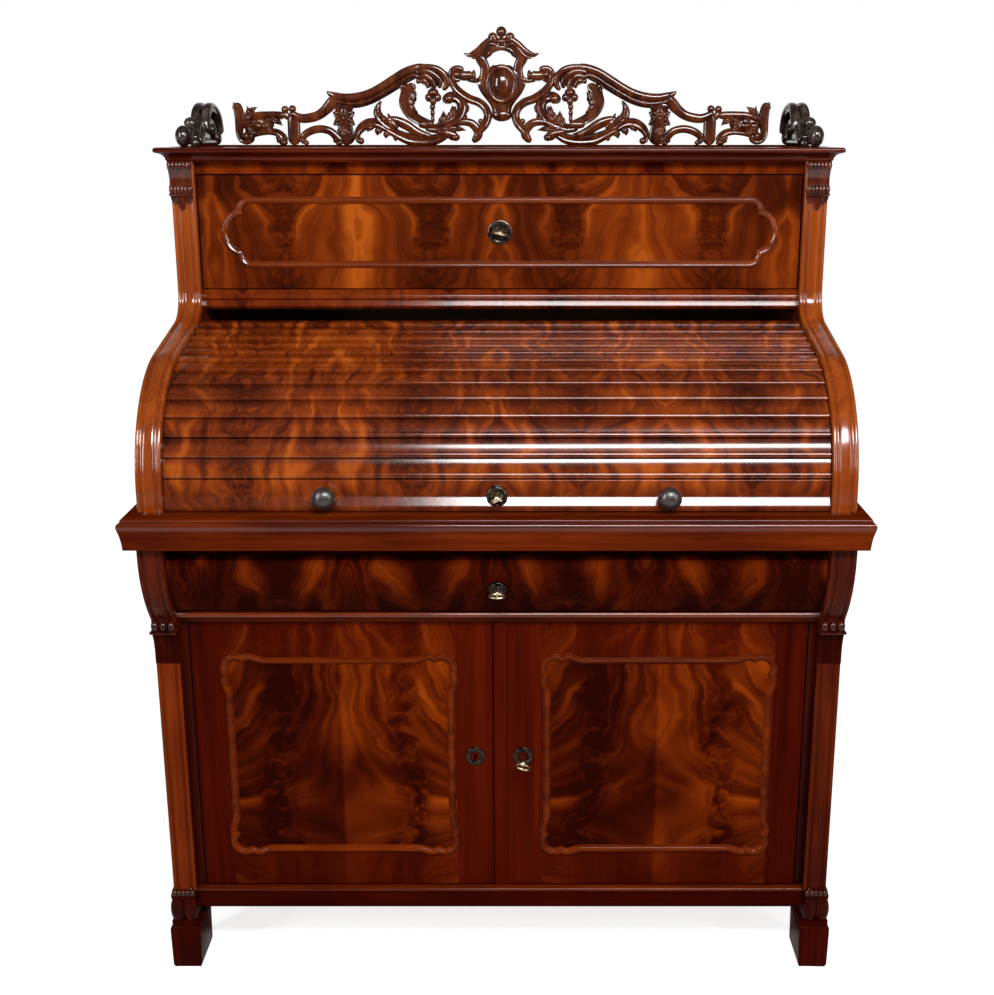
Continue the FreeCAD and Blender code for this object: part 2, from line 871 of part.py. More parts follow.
# Drawers
def drawer_box(name, half, front, depth, bottom, height):
    """Two sides, a back and a floor behind a drawer front."""
    side_z = (bottom, bottom + height)
    sides = []
    for span in both_sides(half - d.drawer_side, half):
        sides.append(box(name + "_side", span, (front, front + depth), side_z))
    inside = full(half - d.drawer_side)
    floor_bottom = bottom + d.drawer_bottom_lift
    rear = (front + depth - d.drawer_side, front + depth)
    rear_board = box(name + "_rear", inside, rear, (floor_bottom, bottom + height))
    floor = box(name + "_floor", inside, (front, rear[0]), (floor_bottom, floor_bottom + d.drawer_bottom))
    return sides + [rear_board, floor]


def top_drawer():
    half = inner_x - d.reveal
    depth = (drawer_face, drawer_face + d.front_thickness)
    height = (mid_rail_top + d.reveal, frieze_bottom - d.reveal)
    middle = (mid_rail_top + frieze_bottom) / 2
    front = box("top_drawer_board", full(half), depth, height)
    plate = (drawer_face - d.escutcheon_thickness, d.rosette_radius, d.escutcheon_thickness)
    fit_lock("top_drawer", "top_drawer_front", front, (0, middle), depth[1], plate, d.lock_height)
    bottom = mid_rail_top + d.running_gap
    box_depth = back_face - d.top_box_clearance - depth[1]
    node("top_drawer_box", drawer_box("top_box", half, depth[1], box_depth, bottom, d.top_box_height))
    reach = half - d.top_panel_margin
    tall = d.top_drawer_space / 2 - d.reveal - d.top_panel_margin
    width = d.top_moulding_width
    centre = reach - d.top_end_radius
    shoulder = centre - d.top_shoulder_shift
    fields = []
    for name, inset in (("top_outline", 0), ("top_inline", width)):
        span = (drawer_face - d.moulding_height, drawer_face)
        tall_in = tall - inset
        parts = [box(name, full(shoulder), span, (middle - tall_in, middle + tall_in))]
        for sign in (-1, 1):
            spot = (sign * centre, span[0], middle)
            parts.append(rod(name, "y", spot, d.top_end_radius - inset, d.moulding_height))
            round_z = tall - d.top_shoulder_radius
            for rise in (-1, 1):
                spot = (sign * shoulder, span[0], middle + rise * round_z)
                parts.append(rod(name, "y", spot, d.top_shoulder_radius - inset, d.moulding_height))
        fields.append(join(name, parts))
    node("top_drawer_moulding", [cut("top_drawer_moulding", fields[0], [fields[1]])])


def low_drawer():
    half = post_x - d.reveal
    front = side_front + d.low_front_setback
    foot = side_front + d.low_front_foot_setback
    rear = side_front + d.low_front_back
    top = table_rail_bottom - d.reveal
    bottom = drawer_floor + d.reveal
    outline = [(rear, top), (front, top)]
    outline += ogee(front, foot, top - d.low_front_shoulder, bottom)
    outline += [(rear, bottom)]
    board = pad_x("low_drawer_board", [outline], full(half))
    bed = d.low_plate_radius + d.plate_clearance
    lock_z = drawer_floor + d.low_lock_rise
    bed_hole = rod("low_plate_bed", "y", (0, front, lock_z), bed, d.low_plate_depth)
    bored = cut("low_drawer_bored", board, [bed_hole])
    plate = (front, d.low_plate_radius, d.low_plate_depth)
    fit_lock("low_drawer", "low_drawer_front", bored, (0, lock_z), rear, plate, d.lock_height)
    floor = drawer_floor + d.running_gap
    box_depth = back_face - d.low_box_clearance - rear
    node("low_drawer_box", drawer_box("low_box", half, rear, box_depth, floor, d.low_box_height))


# Locks and keys
def keyhole(name, x, front, z, length):
    """Round hole with a slot below it, running straight back."""
    hole = rod(name + "_hole", "y", (x, front, z), d.key_radius + d.key_clearance, length)
    wide = d.key_bit_thickness / 2 + d.key_slot_clearance
    drop = d.key_radius + d.key_bit_length + d.key_slot_clearance
    slot = box(name + "_slot", (x - wide, x + wide), (front, front + length), (z - drop, z))
    return join(name, [hole, slot])


def fit_escutcheon(name, board_name, board, spot, end, plate):
    """Escutcheon on a board, and a keyhole through both that stops at the given depth."""
    x, z = spot
    front, radius, depth = plate
    passage = keyhole(name + "_keyhole", x, front, z, end - front)
    node(board_name, [cut(board_name, board, [passage])])
    disc = rod(name + "_plate", "y", (x, front, z), radius, depth)
    node(name + "_escutcheon", [cut(name + "_escutcheon", disc, [passage])])
    return passage


def fit_lock(name, board_name, board, spot, rear, plate, height):
    """Lock case let into the back of a board, with its escutcheon and a key."""
    x, z = spot
    lock_front = rear - d.lock_depth
    case_x = (x - d.lock_width / 2, x + d.lock_width / 2)
    case_z = (z - height / 2, z + height / 2)
    mortised = cut(name + "_mortised", board, [box(name + "_mortise", case_x, (lock_front, rear), case_z)])
    cavity_front = lock_front + d.lock_plate
    passage = fit_escutcheon(name, board_name, mortised, spot, cavity_front, plate)
    case = box(name + "_case", case_x, (lock_front, rear), case_z)
    cavity_depth = d.lock_depth - 2 * d.lock_plate
    cavity = rod(name + "_cavity", "y", (x, cavity_front, z), d.key_radius + d.lock_cavity, cavity_depth)
    node(name + "_lock", [cut(name + "_lock", case, [cavity, passage])])
    add_key(name, x, plate[0], cavity_front + cavity_depth - d.lock_plate, z)


def add_key(name, x, plate_front, tip, z):
    """Shank with a bit in the lock and a ring bow outside it."""
    bow_front = plate_front - d.key_stand
    shank = rod(name + "_shank", "y", (x, bow_front, z), d.key_radius, tip - bow_front)
    half = d.key_bit_thickness / 2
    bit_y = (tip - d.key_bit_width, tip)
    bit_z = (z - d.key_radius - d.key_bit_length, z)
    bit = box(name + "_bit", (x - half, x + half), bit_y, bit_z)
    bow = doc.addObject("Part::Torus", name + "_bow")
    bow.Placement = FreeCAD.Placement(FreeCAD.Vector(), TURNS["x"])
    bind(bow, "Radius1", d.key_bow)
    bind(bow, "Radius2", d.key_bow_wire)
    place(bow, x, bow_front - d.key_bow, z)
    node(name + "_key", [join(name + "_key", [shank, bit, bow])])


# Doors on pins at top and bottom
def door_span(name):
    edge = post_x - d.stile_width - d.reveal
    meeting = -d.meeting_shift
    if name == "left":
        return (-edge, meeting - d.meeting_gap / 2)
    return (meeting + d.meeting_gap / 2, edge)


def door_pin_spots():
    edge = post_x - d.stile_width - d.reveal
    return [(sign * (edge - d.door_pin_inset), door_front + d.door_pin_setback) for sign in (-1, 1)]


def door_pin_holes(name, level, rise):
    """Pin holes in the rail above or below the doors."""
    bore = d.door_pin_radius + d.pivot_clearance
    start = level if rise > 0 else level - d.door_pin_length
    return [rod(name + "_pin_hole", "z", (x, y, start), bore, d.door_pin_length) for x, y in door_pin_spots()]


def door_pins():
    pins = []
    length = 2 * d.door_pin_length + d.reveal
    for x, y in door_pin_spots():
        for start in (d.plinth_top - d.door_pin_length, cupboard_top - d.door_pin_length - d.reveal):
            pins.append(rod("door_pin", "z", (x, y, start), d.door_pin_radius, length))
    return pins


def doors():
    height = (d.plinth_top + d.reveal, cupboard_top - d.reveal)
    bore = d.door_pin_radius + d.pivot_clearance
    for name, sign, pivot in (("left", -1, door_pin_spots()[0]), ("right", 1, door_pin_spots()[1])):
        door = "door_" + name
        span = door_span(name)
        board = box(door + "_board", span, (door_front, door_back), height)
        holes = []
        for start in (height[0], height[1] - d.door_pin_length):
            holes.append(rod(door + "_bore", "z", (*pivot, start), bore, d.door_pin_length))
        drilled = cut(door + "_drilled", board, holes)
        spot = (sign * d.door_lock_offset, door_middle)
        plate = (door_front - d.escutcheon_thickness, d.escutcheon_radius, d.escutcheon_thickness)
        if name == "right":
            fit_lock(door, door, drilled, spot, door_back, plate, d.lock_height)
        else:
            fit_escutcheon(door, door, drilled, spot, door_back, plate)
        door_moulding(door, sign)
    strip = (door_span("right")[0], door_span("right")[0] + d.strip_width)
    strip_y = (door_front - d.strip_thickness, door_front)
    node("meeting_strip", [box("meeting_strip", strip, strip_y, height)])


def door_moulding(door, sign):
    """A frame moulding with a round ear at each corner."""
    reach = door_span("right")[1] - d.door_panel_side_margin
    centre = sign * (reach + d.door_panel_middle_margin) / 2
    wide = (reach - d.door_panel_middle_margin) / 2
    tall = (cupboard_top - d.plinth_top) / 2 - d.reveal - d.door_panel_margin
    middle = door_middle
    span = (door_front - d.moulding_height, door_front)
    fields = []
    for name, inset in ((door + "_outline", 0), (door + "_inline", d.door_moulding_width)):
        run_x = wide - d.ear_step - inset
        run_z = tall - d.ear_step - inset
        parts = [box(name, (centre - run_x, centre + run_x), span, (middle - run_z, middle + run_z))]
        for across in (-1, 1):
            ear_x = centre + across * (wide - d.ear_radius)
            for rise in (-1, 1):
                spot = (ear_x, span[0], middle + rise * (tall - d.ear_radius))
                parts.append(rod(name + "_ear", "y", spot, d.ear_radius - inset, d.moulding_height))
        fields.append(join(name, parts))
    node(door + "_moulding", [cut(door + "_moulding", fields[0], [fields[1]])])


# Nest of pigeonholes
def nest():
    half = lid_half() - d.lid_end - d.nest_side_gap
    front = side_front + d.nest_setback
    rear = front + d.nest_depth
    bottom = d.writing_height
    top = bottom + d.nest_height
    thick = d.nest_board
    depth = (front, rear - thick)
    cell = (2 * half - thick) / d.nest_cells
    boards = [
        box("nest_top", full(half), (front, rear), (top - thick, top)),
        box("nest_back", full(half), (rear - thick, rear), (bottom, top - thick)),
    ]
    count = int(d.nest_cells.value)
    for index in range(count + 1):
        start = index * cell - half
        boards.append(box("nest_upright", (start, start + thick), depth, (bottom, top - thick)))
    shelf_bottom = bottom + d.nest_drawer_height
    for index, side in ((0, "left"), (count - 1, "right")):
        cell_x = (index * cell - half + thick, (index + 1) * cell - half)
        boards.append(box("nest_shelf", cell_x, depth, (shelf_bottom, shelf_bottom + thick)))
        nest_drawer(side, cell_x, depth, (bottom, shelf_bottom))
    node("nest_case", boards)


def nest_drawer(side, cell_x, depth, level):
    name = "nest_drawer_" + side
    gap = d.running_gap
    thick = d.nest_board
    x = (cell_x[0] + gap, cell_x[1] - gap)
    y = (depth[0], depth[1] - gap)
    z = (level[0] + gap, level[1] - gap)
    inside = (x[0] + thick, x[1] - thick)
    floor_top = z[0] + thick / 2
    middle_x = (x[0] + x[1]) / 2
    middle_z = (z[0] + z[1]) / 2
    parts = [
        box(name + "_front", x, (y[0], y[0] + thick), z),
        box(name + "_side", (x[0], inside[0]), (y[0] + thick, y[1]), z),
        box(name + "_side", (inside[1], x[1]), (y[0] + thick, y[1]), z),
        box(name + "_rear", inside, (y[1] - thick, y[1]), z),
        box(name + "_floor", inside, (y[0] + thick, y[1] - thick), (z[0], floor_top)),
        rod(name + "_knob", "y", (middle_x, y[0] - 2 * d.nest_knob, middle_z), d.nest_knob, 2 * d.nest_knob),
    ]
    node(name, parts)


# Pierced gallery: outlines in shares of a wing's length and height, from the outer end inwards
WING_TOP = [
    (0.0, 0.33), (0.03, 0.42), (0.08, 0.4), (0.14, 0.28), (0.2, 0.38), (0.26, 0.3), (0.3, 0.42), (0.36, 0.6),
    (0.42, 0.6), (0.5, 0.68), (0.6, 0.84), (0.72, 0.98), (0.8, 0.96), (0.86, 0.82), (0.93, 0.78), (1.0, 0.72),
]
WING_HOLES = [
    (0.08, 0.2, 0.07), (0.2, 0.17, 0.07), (0.31, 0.17, 0.08), (0.47, 0.42, 0.11), (0.46, 0.14, 0.07),
    (0.62, 0.5, 0.15), (0.63, 0.15, 0.09), (0.77, 0.68, 0.12), (0.8, 0.25, 0.14), (0.93, 0.45, 0.13),
]
CARTOUCHE_HALF = [
    (0.3, 0.0), (0.3, 0.22), (0.42, 0.36), (0.66, 0.5), (0.62, 0.66), (0.5, 0.78), (1.0, 0.84), (0.72, 0.93),
    (0.2, 0.94), (0.12, 1.0),
]

CARTOUCHE_HOLE = (0.84, 0.13)


def gallery():
    depth = (gallery_front, gallery_front + d.gallery_thickness)
    base = cornice_top
    half_middle = d.cartouche_width / 2
    half = outer_x - d.gallery_margin
    wing = half - half_middle
    for name, sign in (("left", -1), ("right", 1)):
        outer = sign * half
        outline = []
        for share, level in WING_TOP:
            outline.append((outer - sign * wing * share, base + d.gallery_wing_height * level))
        outline += [(sign * half_middle, base), (outer, base)]
        holes = []
        for share, level, radius in WING_HOLES:
            spot = (outer - sign * wing * share, base + d.gallery_wing_height * level)
            holes.append((*spot, d.gallery_wing_height * radius))
        node("gallery_" + name, [pad_y("gallery_" + name, [outline], depth, holes)])
    right = [(half_middle * share, base + d.gallery_height * level) for share, level in CARTOUCHE_HALF]
    left = [(-x, z) for x, z in reversed(right)]
    hole = [(0, base + d.gallery_height * CARTOUCHE_HOLE[0], d.cartouche_width * CARTOUCHE_HOLE[1])]
    node("gallery_centre", [pad_y("gallery_centre", [right + left], depth, hole)])
    gallery_ends()


def gallery_ends():
    """Arched band above each end of the cornice, with a ball at its front."""
    front = upper_front + d.gallery_end_setback
    rear = gallery_front
    base = cornice_top
    ball_z = base + d.gallery_ball
    top = base + d.gallery_end_height
    foot = front + 2 * d.gallery_ball
    frame = d.gallery_end_frame
    outline = [
        (foot, base),
        (rear, base),
        (rear, top),
        (rear - 2 * frame, top),
        (foot, base + 2 * d.gallery_ball),
    ]
    window = [
        (foot + 3 * frame, base + frame),
        (rear - frame, base + frame),
        (rear - frame, top - frame),
        (rear - 2 * frame, top - frame),
    ]
    ends = []
    half = d.gallery_end_thickness / 2
    for sign in (-1, 1):
        middle = sign * (outer_x - d.gallery_end_inset)
        band = pad_x("gallery_band", [outline, window], (middle - half, middle + half))
        ball_spot = (middle, front + d.gallery_ball, ball_z)
        ball = doc.addObject("Part::Sphere", "gallery_ball")
        bind(ball, "Radius", d.gallery_ball)
        place(ball, *ball_spot)
        neck = rod("gallery_neck", "y", ball_spot, d.gallery_ball_neck, 2 * d.gallery_ball)
        ends.append(join("gallery_end", [band, ball, neck]))
    node("gallery_ends", ends)


lower_case()
pilasters()
feet()
consoles()
writing_table()
upper_sides()
lid_pins = lid()
upper_case()
top_drawer()
low_drawer()
doors()
node("pivot_pins", door_pins() + lid_pins)
nest()
gallery()
doc.recompute()

# Every object must be sound before anything is written
broken = [item.Name for item in doc.Objects if "Invalid" in item.State or "Error" in item.State]
for item in nodes:
    if item.Shape.isNull() or not item.Shape.isValid() or not item.Shape.Solids:
        broken.append(item.Label)
if broken:
    raise RuntimeError("these objects failed: %s" % ", ".join(broken))

os.makedirs("parts", exist_ok=True)
for item in nodes:
    item.Shape.exportStep("parts/%s.step" % item.Label)
print("%d nodes, %d solids" % (len(nodes), sum(len(item.Shape.Solids) for item in nodes)))
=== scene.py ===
"""Looks of a flame-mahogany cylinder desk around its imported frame, in millimetres, front towards -Y."""
import json
import math

import bmesh
import bpy
import numpy as np
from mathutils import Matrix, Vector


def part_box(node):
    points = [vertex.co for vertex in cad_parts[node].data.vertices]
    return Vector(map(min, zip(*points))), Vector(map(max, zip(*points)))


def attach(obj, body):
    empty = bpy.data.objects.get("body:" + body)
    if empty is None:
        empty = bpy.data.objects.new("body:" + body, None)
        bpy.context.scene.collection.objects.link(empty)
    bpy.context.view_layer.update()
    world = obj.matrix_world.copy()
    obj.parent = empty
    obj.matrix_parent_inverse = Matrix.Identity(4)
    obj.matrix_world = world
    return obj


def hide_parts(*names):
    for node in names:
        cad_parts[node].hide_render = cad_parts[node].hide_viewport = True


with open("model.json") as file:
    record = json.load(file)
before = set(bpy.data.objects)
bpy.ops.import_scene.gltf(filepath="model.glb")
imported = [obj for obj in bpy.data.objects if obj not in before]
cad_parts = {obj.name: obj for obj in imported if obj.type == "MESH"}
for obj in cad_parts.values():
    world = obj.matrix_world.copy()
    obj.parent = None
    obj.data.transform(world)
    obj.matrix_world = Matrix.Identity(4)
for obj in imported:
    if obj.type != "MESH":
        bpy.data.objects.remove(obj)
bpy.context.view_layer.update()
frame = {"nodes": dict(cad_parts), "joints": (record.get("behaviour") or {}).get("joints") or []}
MILLIMETRE = 0.001


# Places read from the frame, in millimetres
def reach(node, axis):
    """Lowest and highest value of a node along one axis."""
    low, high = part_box(node)
    return low[axis] / MILLIMETRE, high[axis] / MILLIMETRE


def sides(node):
    """Front, back, low and high of a node."""
    return (*reach(node, 1), *reach(node, 2))


def joint_place(name):
    """A point on a joint's axis."""
    joint = [item for item in frame["joints"] if item["name"] == name][0]
    return [value / MILLIMETRE for value in joint["pos_m"]]


POST_OUTER = reach("pilasters", 0)[1]
SIDE_FRONT = reach("side_facings", 1)[0]
BACK = reach("lower_back", 1)[1]
WRITING_HEIGHT, CORNICE_BOTTOM = reach("side_facings", 2)
CORNICE_TOP = reach("cornice", 2)[1]
GALLERY_MIDDLE = sum(reach("gallery_left", 1)) / 2
LID_AXIS = joint_place("lid_turn")

# Sizes of the finer forms, in millimetres and degrees
REED_WIDTH = 38.0
FACING_DEPTH = 12.0
CORNICE_OVERHANG = 20.0
CONSOLE_UNDERCUT = 47.0
DRAWER_UNDERCUT = 38.0
SLAT_DEPTH = 10.6
SLAT_FOOT = 11
SLAT_GAP = 1.5
SLAT_CURVE = 50.0
SLAT_BEAD = 1.2
LID_SLOPE = 12.0
LID_BACK = 57.0
RAIL_SETBACK = 3.0
END_MIDDLE = 498.0

# Plain numbers: slats, the power of the drawer's curve, carved widths against drawn ones, and the inner radii
# of keyholes, door rings and plate rings against their outer radii
SLAT_COUNT = 13
DRAWER_POWER = 1.9
FULLNESS = 1.32
KEY_HOLE = 0.2
DOOR_RIM = 0.55
PLATE_RIM = 0.68

# Mesh limits: merging distances in metres, and the angle of an edge that stays sharp in degrees
MERGE_DISTANCE = 1e-6
WELD_DISTANCE = 1e-5
SHARP_EDGE = 40

# Photograph's view: width, focal length and offset of its axis in pixels, tilt in degrees, eye in metres
IMAGE_WIDTH = 994
FOCAL_LENGTH = 1363
TILT = 15.4
AXIS_OFFSET = 30
EYE = (0.0442, -2.194, 1.339)
SENSOR = 36.0


def add_camera():
    camera = bpy.data.cameras.new("camera")
    camera.sensor_width = SENSOR
    camera.sensor_fit = "HORIZONTAL"
    camera.lens = SENSOR * FOCAL_LENGTH / IMAGE_WIDTH
    camera.shift_x = -AXIS_OFFSET / IMAGE_WIDTH
    item = bpy.data.objects.new("camera", camera)
    item.location = EYE
    item.rotation_euler = (math.radians(90 - TILT), 0, 0)
    bpy.context.scene.collection.objects.link(item)
    bpy.context.scene.camera = item


# Meshes worked out as whole arrays
def grid_faces(rows, columns, wrap_rows):
    """Quads between neighbouring points of rows of closed rings; the rows may wrap round too."""
    steps = np.arange(rows if wrap_rows else rows - 1)
    row, column = np.meshgrid(steps, np.arange(columns), indexing="ij")
    here = row * columns
    below = (row + 1) % rows * columns
    beside = (column + 1) % columns
    corners = (here + column, here + beside, below + beside, below + column)
    return np.stack(corners, -1).reshape(-1, 4).tolist()


class Shells:
    """Closed surfaces in millimetres, gathered into one object."""

    def __init__(self):
        self.points = []
        self.faces = []
        self.count = 0

    def add(self, points, faces):
        self.points.append(np.asarray(points, float).reshape(-1, 3))
        self.faces += [[corner + self.count for corner in face] for face in faces]
        self.count += len(self.points[-1])

    def add_tube(self, points, wrap_rows=False):
        """Rows of closed rings; the first and last ring get flat lids unless the rows wrap round."""
        rows, columns = points.shape[:2]
        faces = grid_faces(rows, columns, wrap_rows)
        if not wrap_rows:
            faces.append(list(range(columns)))
            faces.append(list(range((rows - 1) * columns, rows * columns)))
        self.add(points, faces)

    def add_ball(self, points):
        """Rows of closed rings whose first and last ring are each one spot."""
        self.add(points, grid_faces(*points.shape[:2], False))

    def join(self, other, side=1):
        """Take in another gathering as it is, or with -1 on the other side of the desk's middle."""
        self.faces += [[corner + self.count for corner in face] for face in other.faces]
        self.points += [points * (side, 1, 1) for points in other.points]
        self.count += other.count
        return self

    def build(self, name, sharp=SHARP_EDGE):
        """One mesh object in metres with outward faces, smooth except at edges sharper than an angle."""
        mesh = bpy.data.meshes.new(name)
        mesh.from_pydata((np.concatenate(self.points) * MILLIMETRE).tolist(), [], self.faces)
        work = bmesh.new()
        work.from_mesh(mesh)
        bmesh.ops.remove_doubles(work, verts=work.verts, dist=MERGE_DISTANCE)
        bmesh.ops.recalc_face_normals(work, faces=work.faces)
        work.to_mesh(mesh)
        work.free()
        mesh.shade_smooth()
        mesh.set_sharp_from_angle(angle=math.radians(sharp))
        item = bpy.data.objects.new(name, mesh)
        bpy.context.scene.collection.objects.link(item)
        return item


def on_both_sides(one):
    """A form on the right and its mirror on the left."""
    return Shells().join(one).join(one, -1)


def pairs(**forms):
    """Finished pieces of named forms, each on both sides of the desk."""
    return [on_both_sides(form).build(name) for name, form in forms.items()]


def dress(item, body, slot, material, *nodes):
    """Put a finished piece on its body in place of the solids that it stands for."""
    item.data.materials.append(material)
    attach(item, body)
    if nodes:
        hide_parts(*nodes)


def soften(node, material, width):
    """Keep a solid as it is, with a finish and with its edges rounded off by a width in millimetres."""
    item = frame["nodes"][node]
    item.data.materials.clear()
    item.data.materials.append(material)
    weld = item.modifiers.new("weld", "WELD")
    weld.merge_threshold = WELD_DISTANCE
    if width > 0:
        bevel = item.modifiers.new("round", "BEVEL")
        bevel.width = width * MILLIMETRE
        bevel.segments = 2
        bevel.limit_method = "ANGLE"
        bevel.angle_limit = math.radians(SHARP_EDGE)


# Lines and sections
def full_turn(count):
    """Angles once round in even steps."""
    return np.linspace(0, 2 * math.pi, count, endpoint=False)


def arc(centre, radii, start, end, count):
    """Points of an oval arc: centre plus radii times the cosine and sine of angles in degrees."""
    angle = np.radians(np.linspace(start, end, count))
    return np.stack([centre[0] + radii[0] * np.cos(angle), centre[1] + radii[1] * np.sin(angle)], -1)


def outline(*parts):
    """One run of points from single points and arcs."""
    return np.concatenate([np.atleast_2d(np.asarray(part, float)) for part in parts])


def smooth(points, count):
    """Cubic curve through a few points: its slope at each is half the step between the neighbours."""
    points = np.asarray(points, float)
    padded = np.concatenate([[2 * points[0] - points[1]], points, [2 * points[-1] - points[-2]]])
    place = np.linspace(0, len(points) - 1, count)
    index = np.minimum(place.astype(int), len(points) - 2)
    t = (place - index)[:, None]
    a, b, c, d = (padded[index + shift] for shift in range(4))
    return 0.5 * (2 * b + (c - a) * t + (2 * a - 5 * b + 4 * c - d) * t**2 + (3 * b - a - 3 * c + d) * t**3)


def sideways(path, closed=False):
    """Directions left of a flat path, longer at corners so that a section keeps its width round a mitre."""
    ahead = np.roll(path, -1, 0) - path
    behind = path - np.roll(path, 1, 0)
    if not closed:
        ahead[-1] = behind[-1]
        behind[0] = ahead[0]
    lefts = []
    for step in (ahead, behind):
        left = np.stack([-step[:, 1], step[:, 0]], -1)
        lefts.append(left / np.linalg.norm(step, axis=1, keepdims=True))
    agreement = (lefts[0] * lefts[1]).sum(1, keepdims=True)
    return (lefts[0] + lefts[1]) / np.maximum(1 + agreement, 0.6)


def swept(path, across, beside, closed=False):
    """A section carried along a flat path: places in the path's plane, and measures beside that plane."""
    flat = path[:, None] + across[None, :, None] * sideways(path, closed)[:, None]
    return flat, np.broadcast_to(beside[None, :, None], flat.shape[:2] + (1,))


def circle_meeting(first, first_radius, second, second_radius):
    """Where two circles meet: along the line of centres, then square to it on its left."""
    first = np.asarray(first, float)
    across = np.asarray(second, float) - first
    gap = np.linalg.norm(across)
    along = (first_radius**2 - second_radius**2 + gap**2) / (2 * gap)
    rise = math.sqrt(first_radius**2 - along**2)
    across /= gap
    return first + along * across + rise * np.array([-across[1], across[0]])


def bearing(centre, spot):
    """Angle in degrees from a centre to a spot."""
    return math.degrees(math.atan2(spot[1] - centre[1], spot[0] - centre[0]))


def along_x(shells, section, left, right):
    """A (y, z) section drawn out from left to right."""
    shells.add_tube(np.stack([np.insert(section, 0, x, axis=1) for x in (left, right)]))


def along_z(shells, section, low, high):
    """An (x, y) section drawn out from low to high."""
    shells.add_tube(np.stack([np.insert(section, 2, z, axis=1) for z in (low, high)]))


def drawn_out(name, node, section, sharp=32):
    """A piece with one (y, z) section, as long as a node."""
    half = reach(node, 0)[1]
    shells = Shells()
    along_x(shells, section, -half, half)
    return shells.build(name, sharp)


def turned(shells, spot, profile, around, ring=False):
    """A profile of (radius, distance) turned about a line towards the viewer, and closed for a ring."""
    angle = full_turn(around)
    radius, distance = np.asarray(profile, float).T[:, :, None]
    x = spot[0] + radius * np.cos(angle)
    y = spot[1] - distance + 0 * x
    points = np.stack([x, y, spot[2] + radius * np.sin(angle)], -1)
    if ring:
        shells.add_tube(points, True)
    else:
        shells.add_ball(points)


def ball(around, rings):
    """Points of a round ball of radius 1, ring by ring."""
    across = full_turn(around)
    up = np.linspace(0, math.pi, rings)[:, None]
    return np.stack([np.sin(up) * np.cos(across), np.sin(up) * np.sin(across), np.cos(up) + 0 * across], -1)


def egg(shells, centre, radii, around=20, rings=12):
    """An egg: centre plus radii times a round ball's points."""
    shells.add_ball(np.asarray(centre) + ball(around, rings) * np.asarray(radii))


# Reeded strips
def bead(start, end, low, high):
    """Half-oval bead between two places across a strip."""
    return arc(((start + end) / 2, low), ((end - start) / 2, high - low), 180, 0, 9)


def raised_band(start, end, low, high, corner):
    """Flat band with rounded shoulders."""
    radii = (corner, high - low)
    left = arc((start + corner, low), radii, 180, 90, 6)
    right = arc((end - corner, low), radii, 90, 0, 6)
    return np.concatenate([left, right])


def reeds(depth=3.2):
    """Front of a reeded strip, outer edge first: bead, groove, broad rounded band, groove, bead."""
    groove = -depth - 0.4
    return outline(
        bead(0, 6.6, -depth, 0),
        (7.2, groove), (8.8, groove),
        raised_band(9.4, 28.4, -depth, 0, 5.0),
        (29.0, groove), (30.4, groove),
        bead(31, REED_WIDTH, -depth, 0),
    )


def scroll_path():
    """Side's front edge as (y, z): upright, round the lid's axis, a slope, and a hollow return."""
    axis_y, axis_z = LID_AXIS[1:]
    radius = axis_y - SIDE_FRONT
    front = reach("cornice", 1)[0] + CORNICE_OVERHANG
    hollow = 45.0
    turn_y = front - hollow
    lean = math.radians(LID_SLOPE)
    climb = turn_y + hollow * math.sin(lean) - axis_y + radius * math.sin(lean)
    turn_z = axis_z + radius * math.cos(lean) + climb * math.tan(lean) + hollow * math.cos(lean)
    bend = arc((axis_y, axis_z), (-radius, radius), 0, 90 - LID_SLOPE, 44)
    back = arc((turn_y, turn_z), (hollow, hollow), LID_SLOPE - 90, 0, 16)
    return outline((SIDE_FRONT, WRITING_HEIGHT), bend, back, (front, CORNICE_BOTTOM))


def side_facings():
    """Reeds carried along the scroll, square to it."""
    strip = outline(reeds(), (REED_WIDTH, -FACING_DEPTH), (0, -FACING_DEPTH))
    places, x = swept(scroll_path(), strip[:, 1], POST_OUTER - strip[:, 0])
    one = Shells()
    one.add_tube(np.concatenate([x, places], -1))
    return on_both_sides(one).build("reeded_facings")


def level_slices(levels, front, strip, back):
    """Rows of level sections: a reeded front that moves with the height, and a flat back."""
    heights = np.asarray(levels, float)[:, None]
    reeded = np.asarray(front, float)[:, None] - strip[None, :, 1]
    y = np.concatenate([reeded, np.full((len(heights), 2), back)], 1)
    x = np.concatenate([POST_OUTER - strip[:, 0], [POST_OUTER - REED_WIDTH, POST_OUTER]])
    return np.stack([np.broadcast_to(x, y.shape), y, np.broadcast_to(heights, y.shape)], -1)


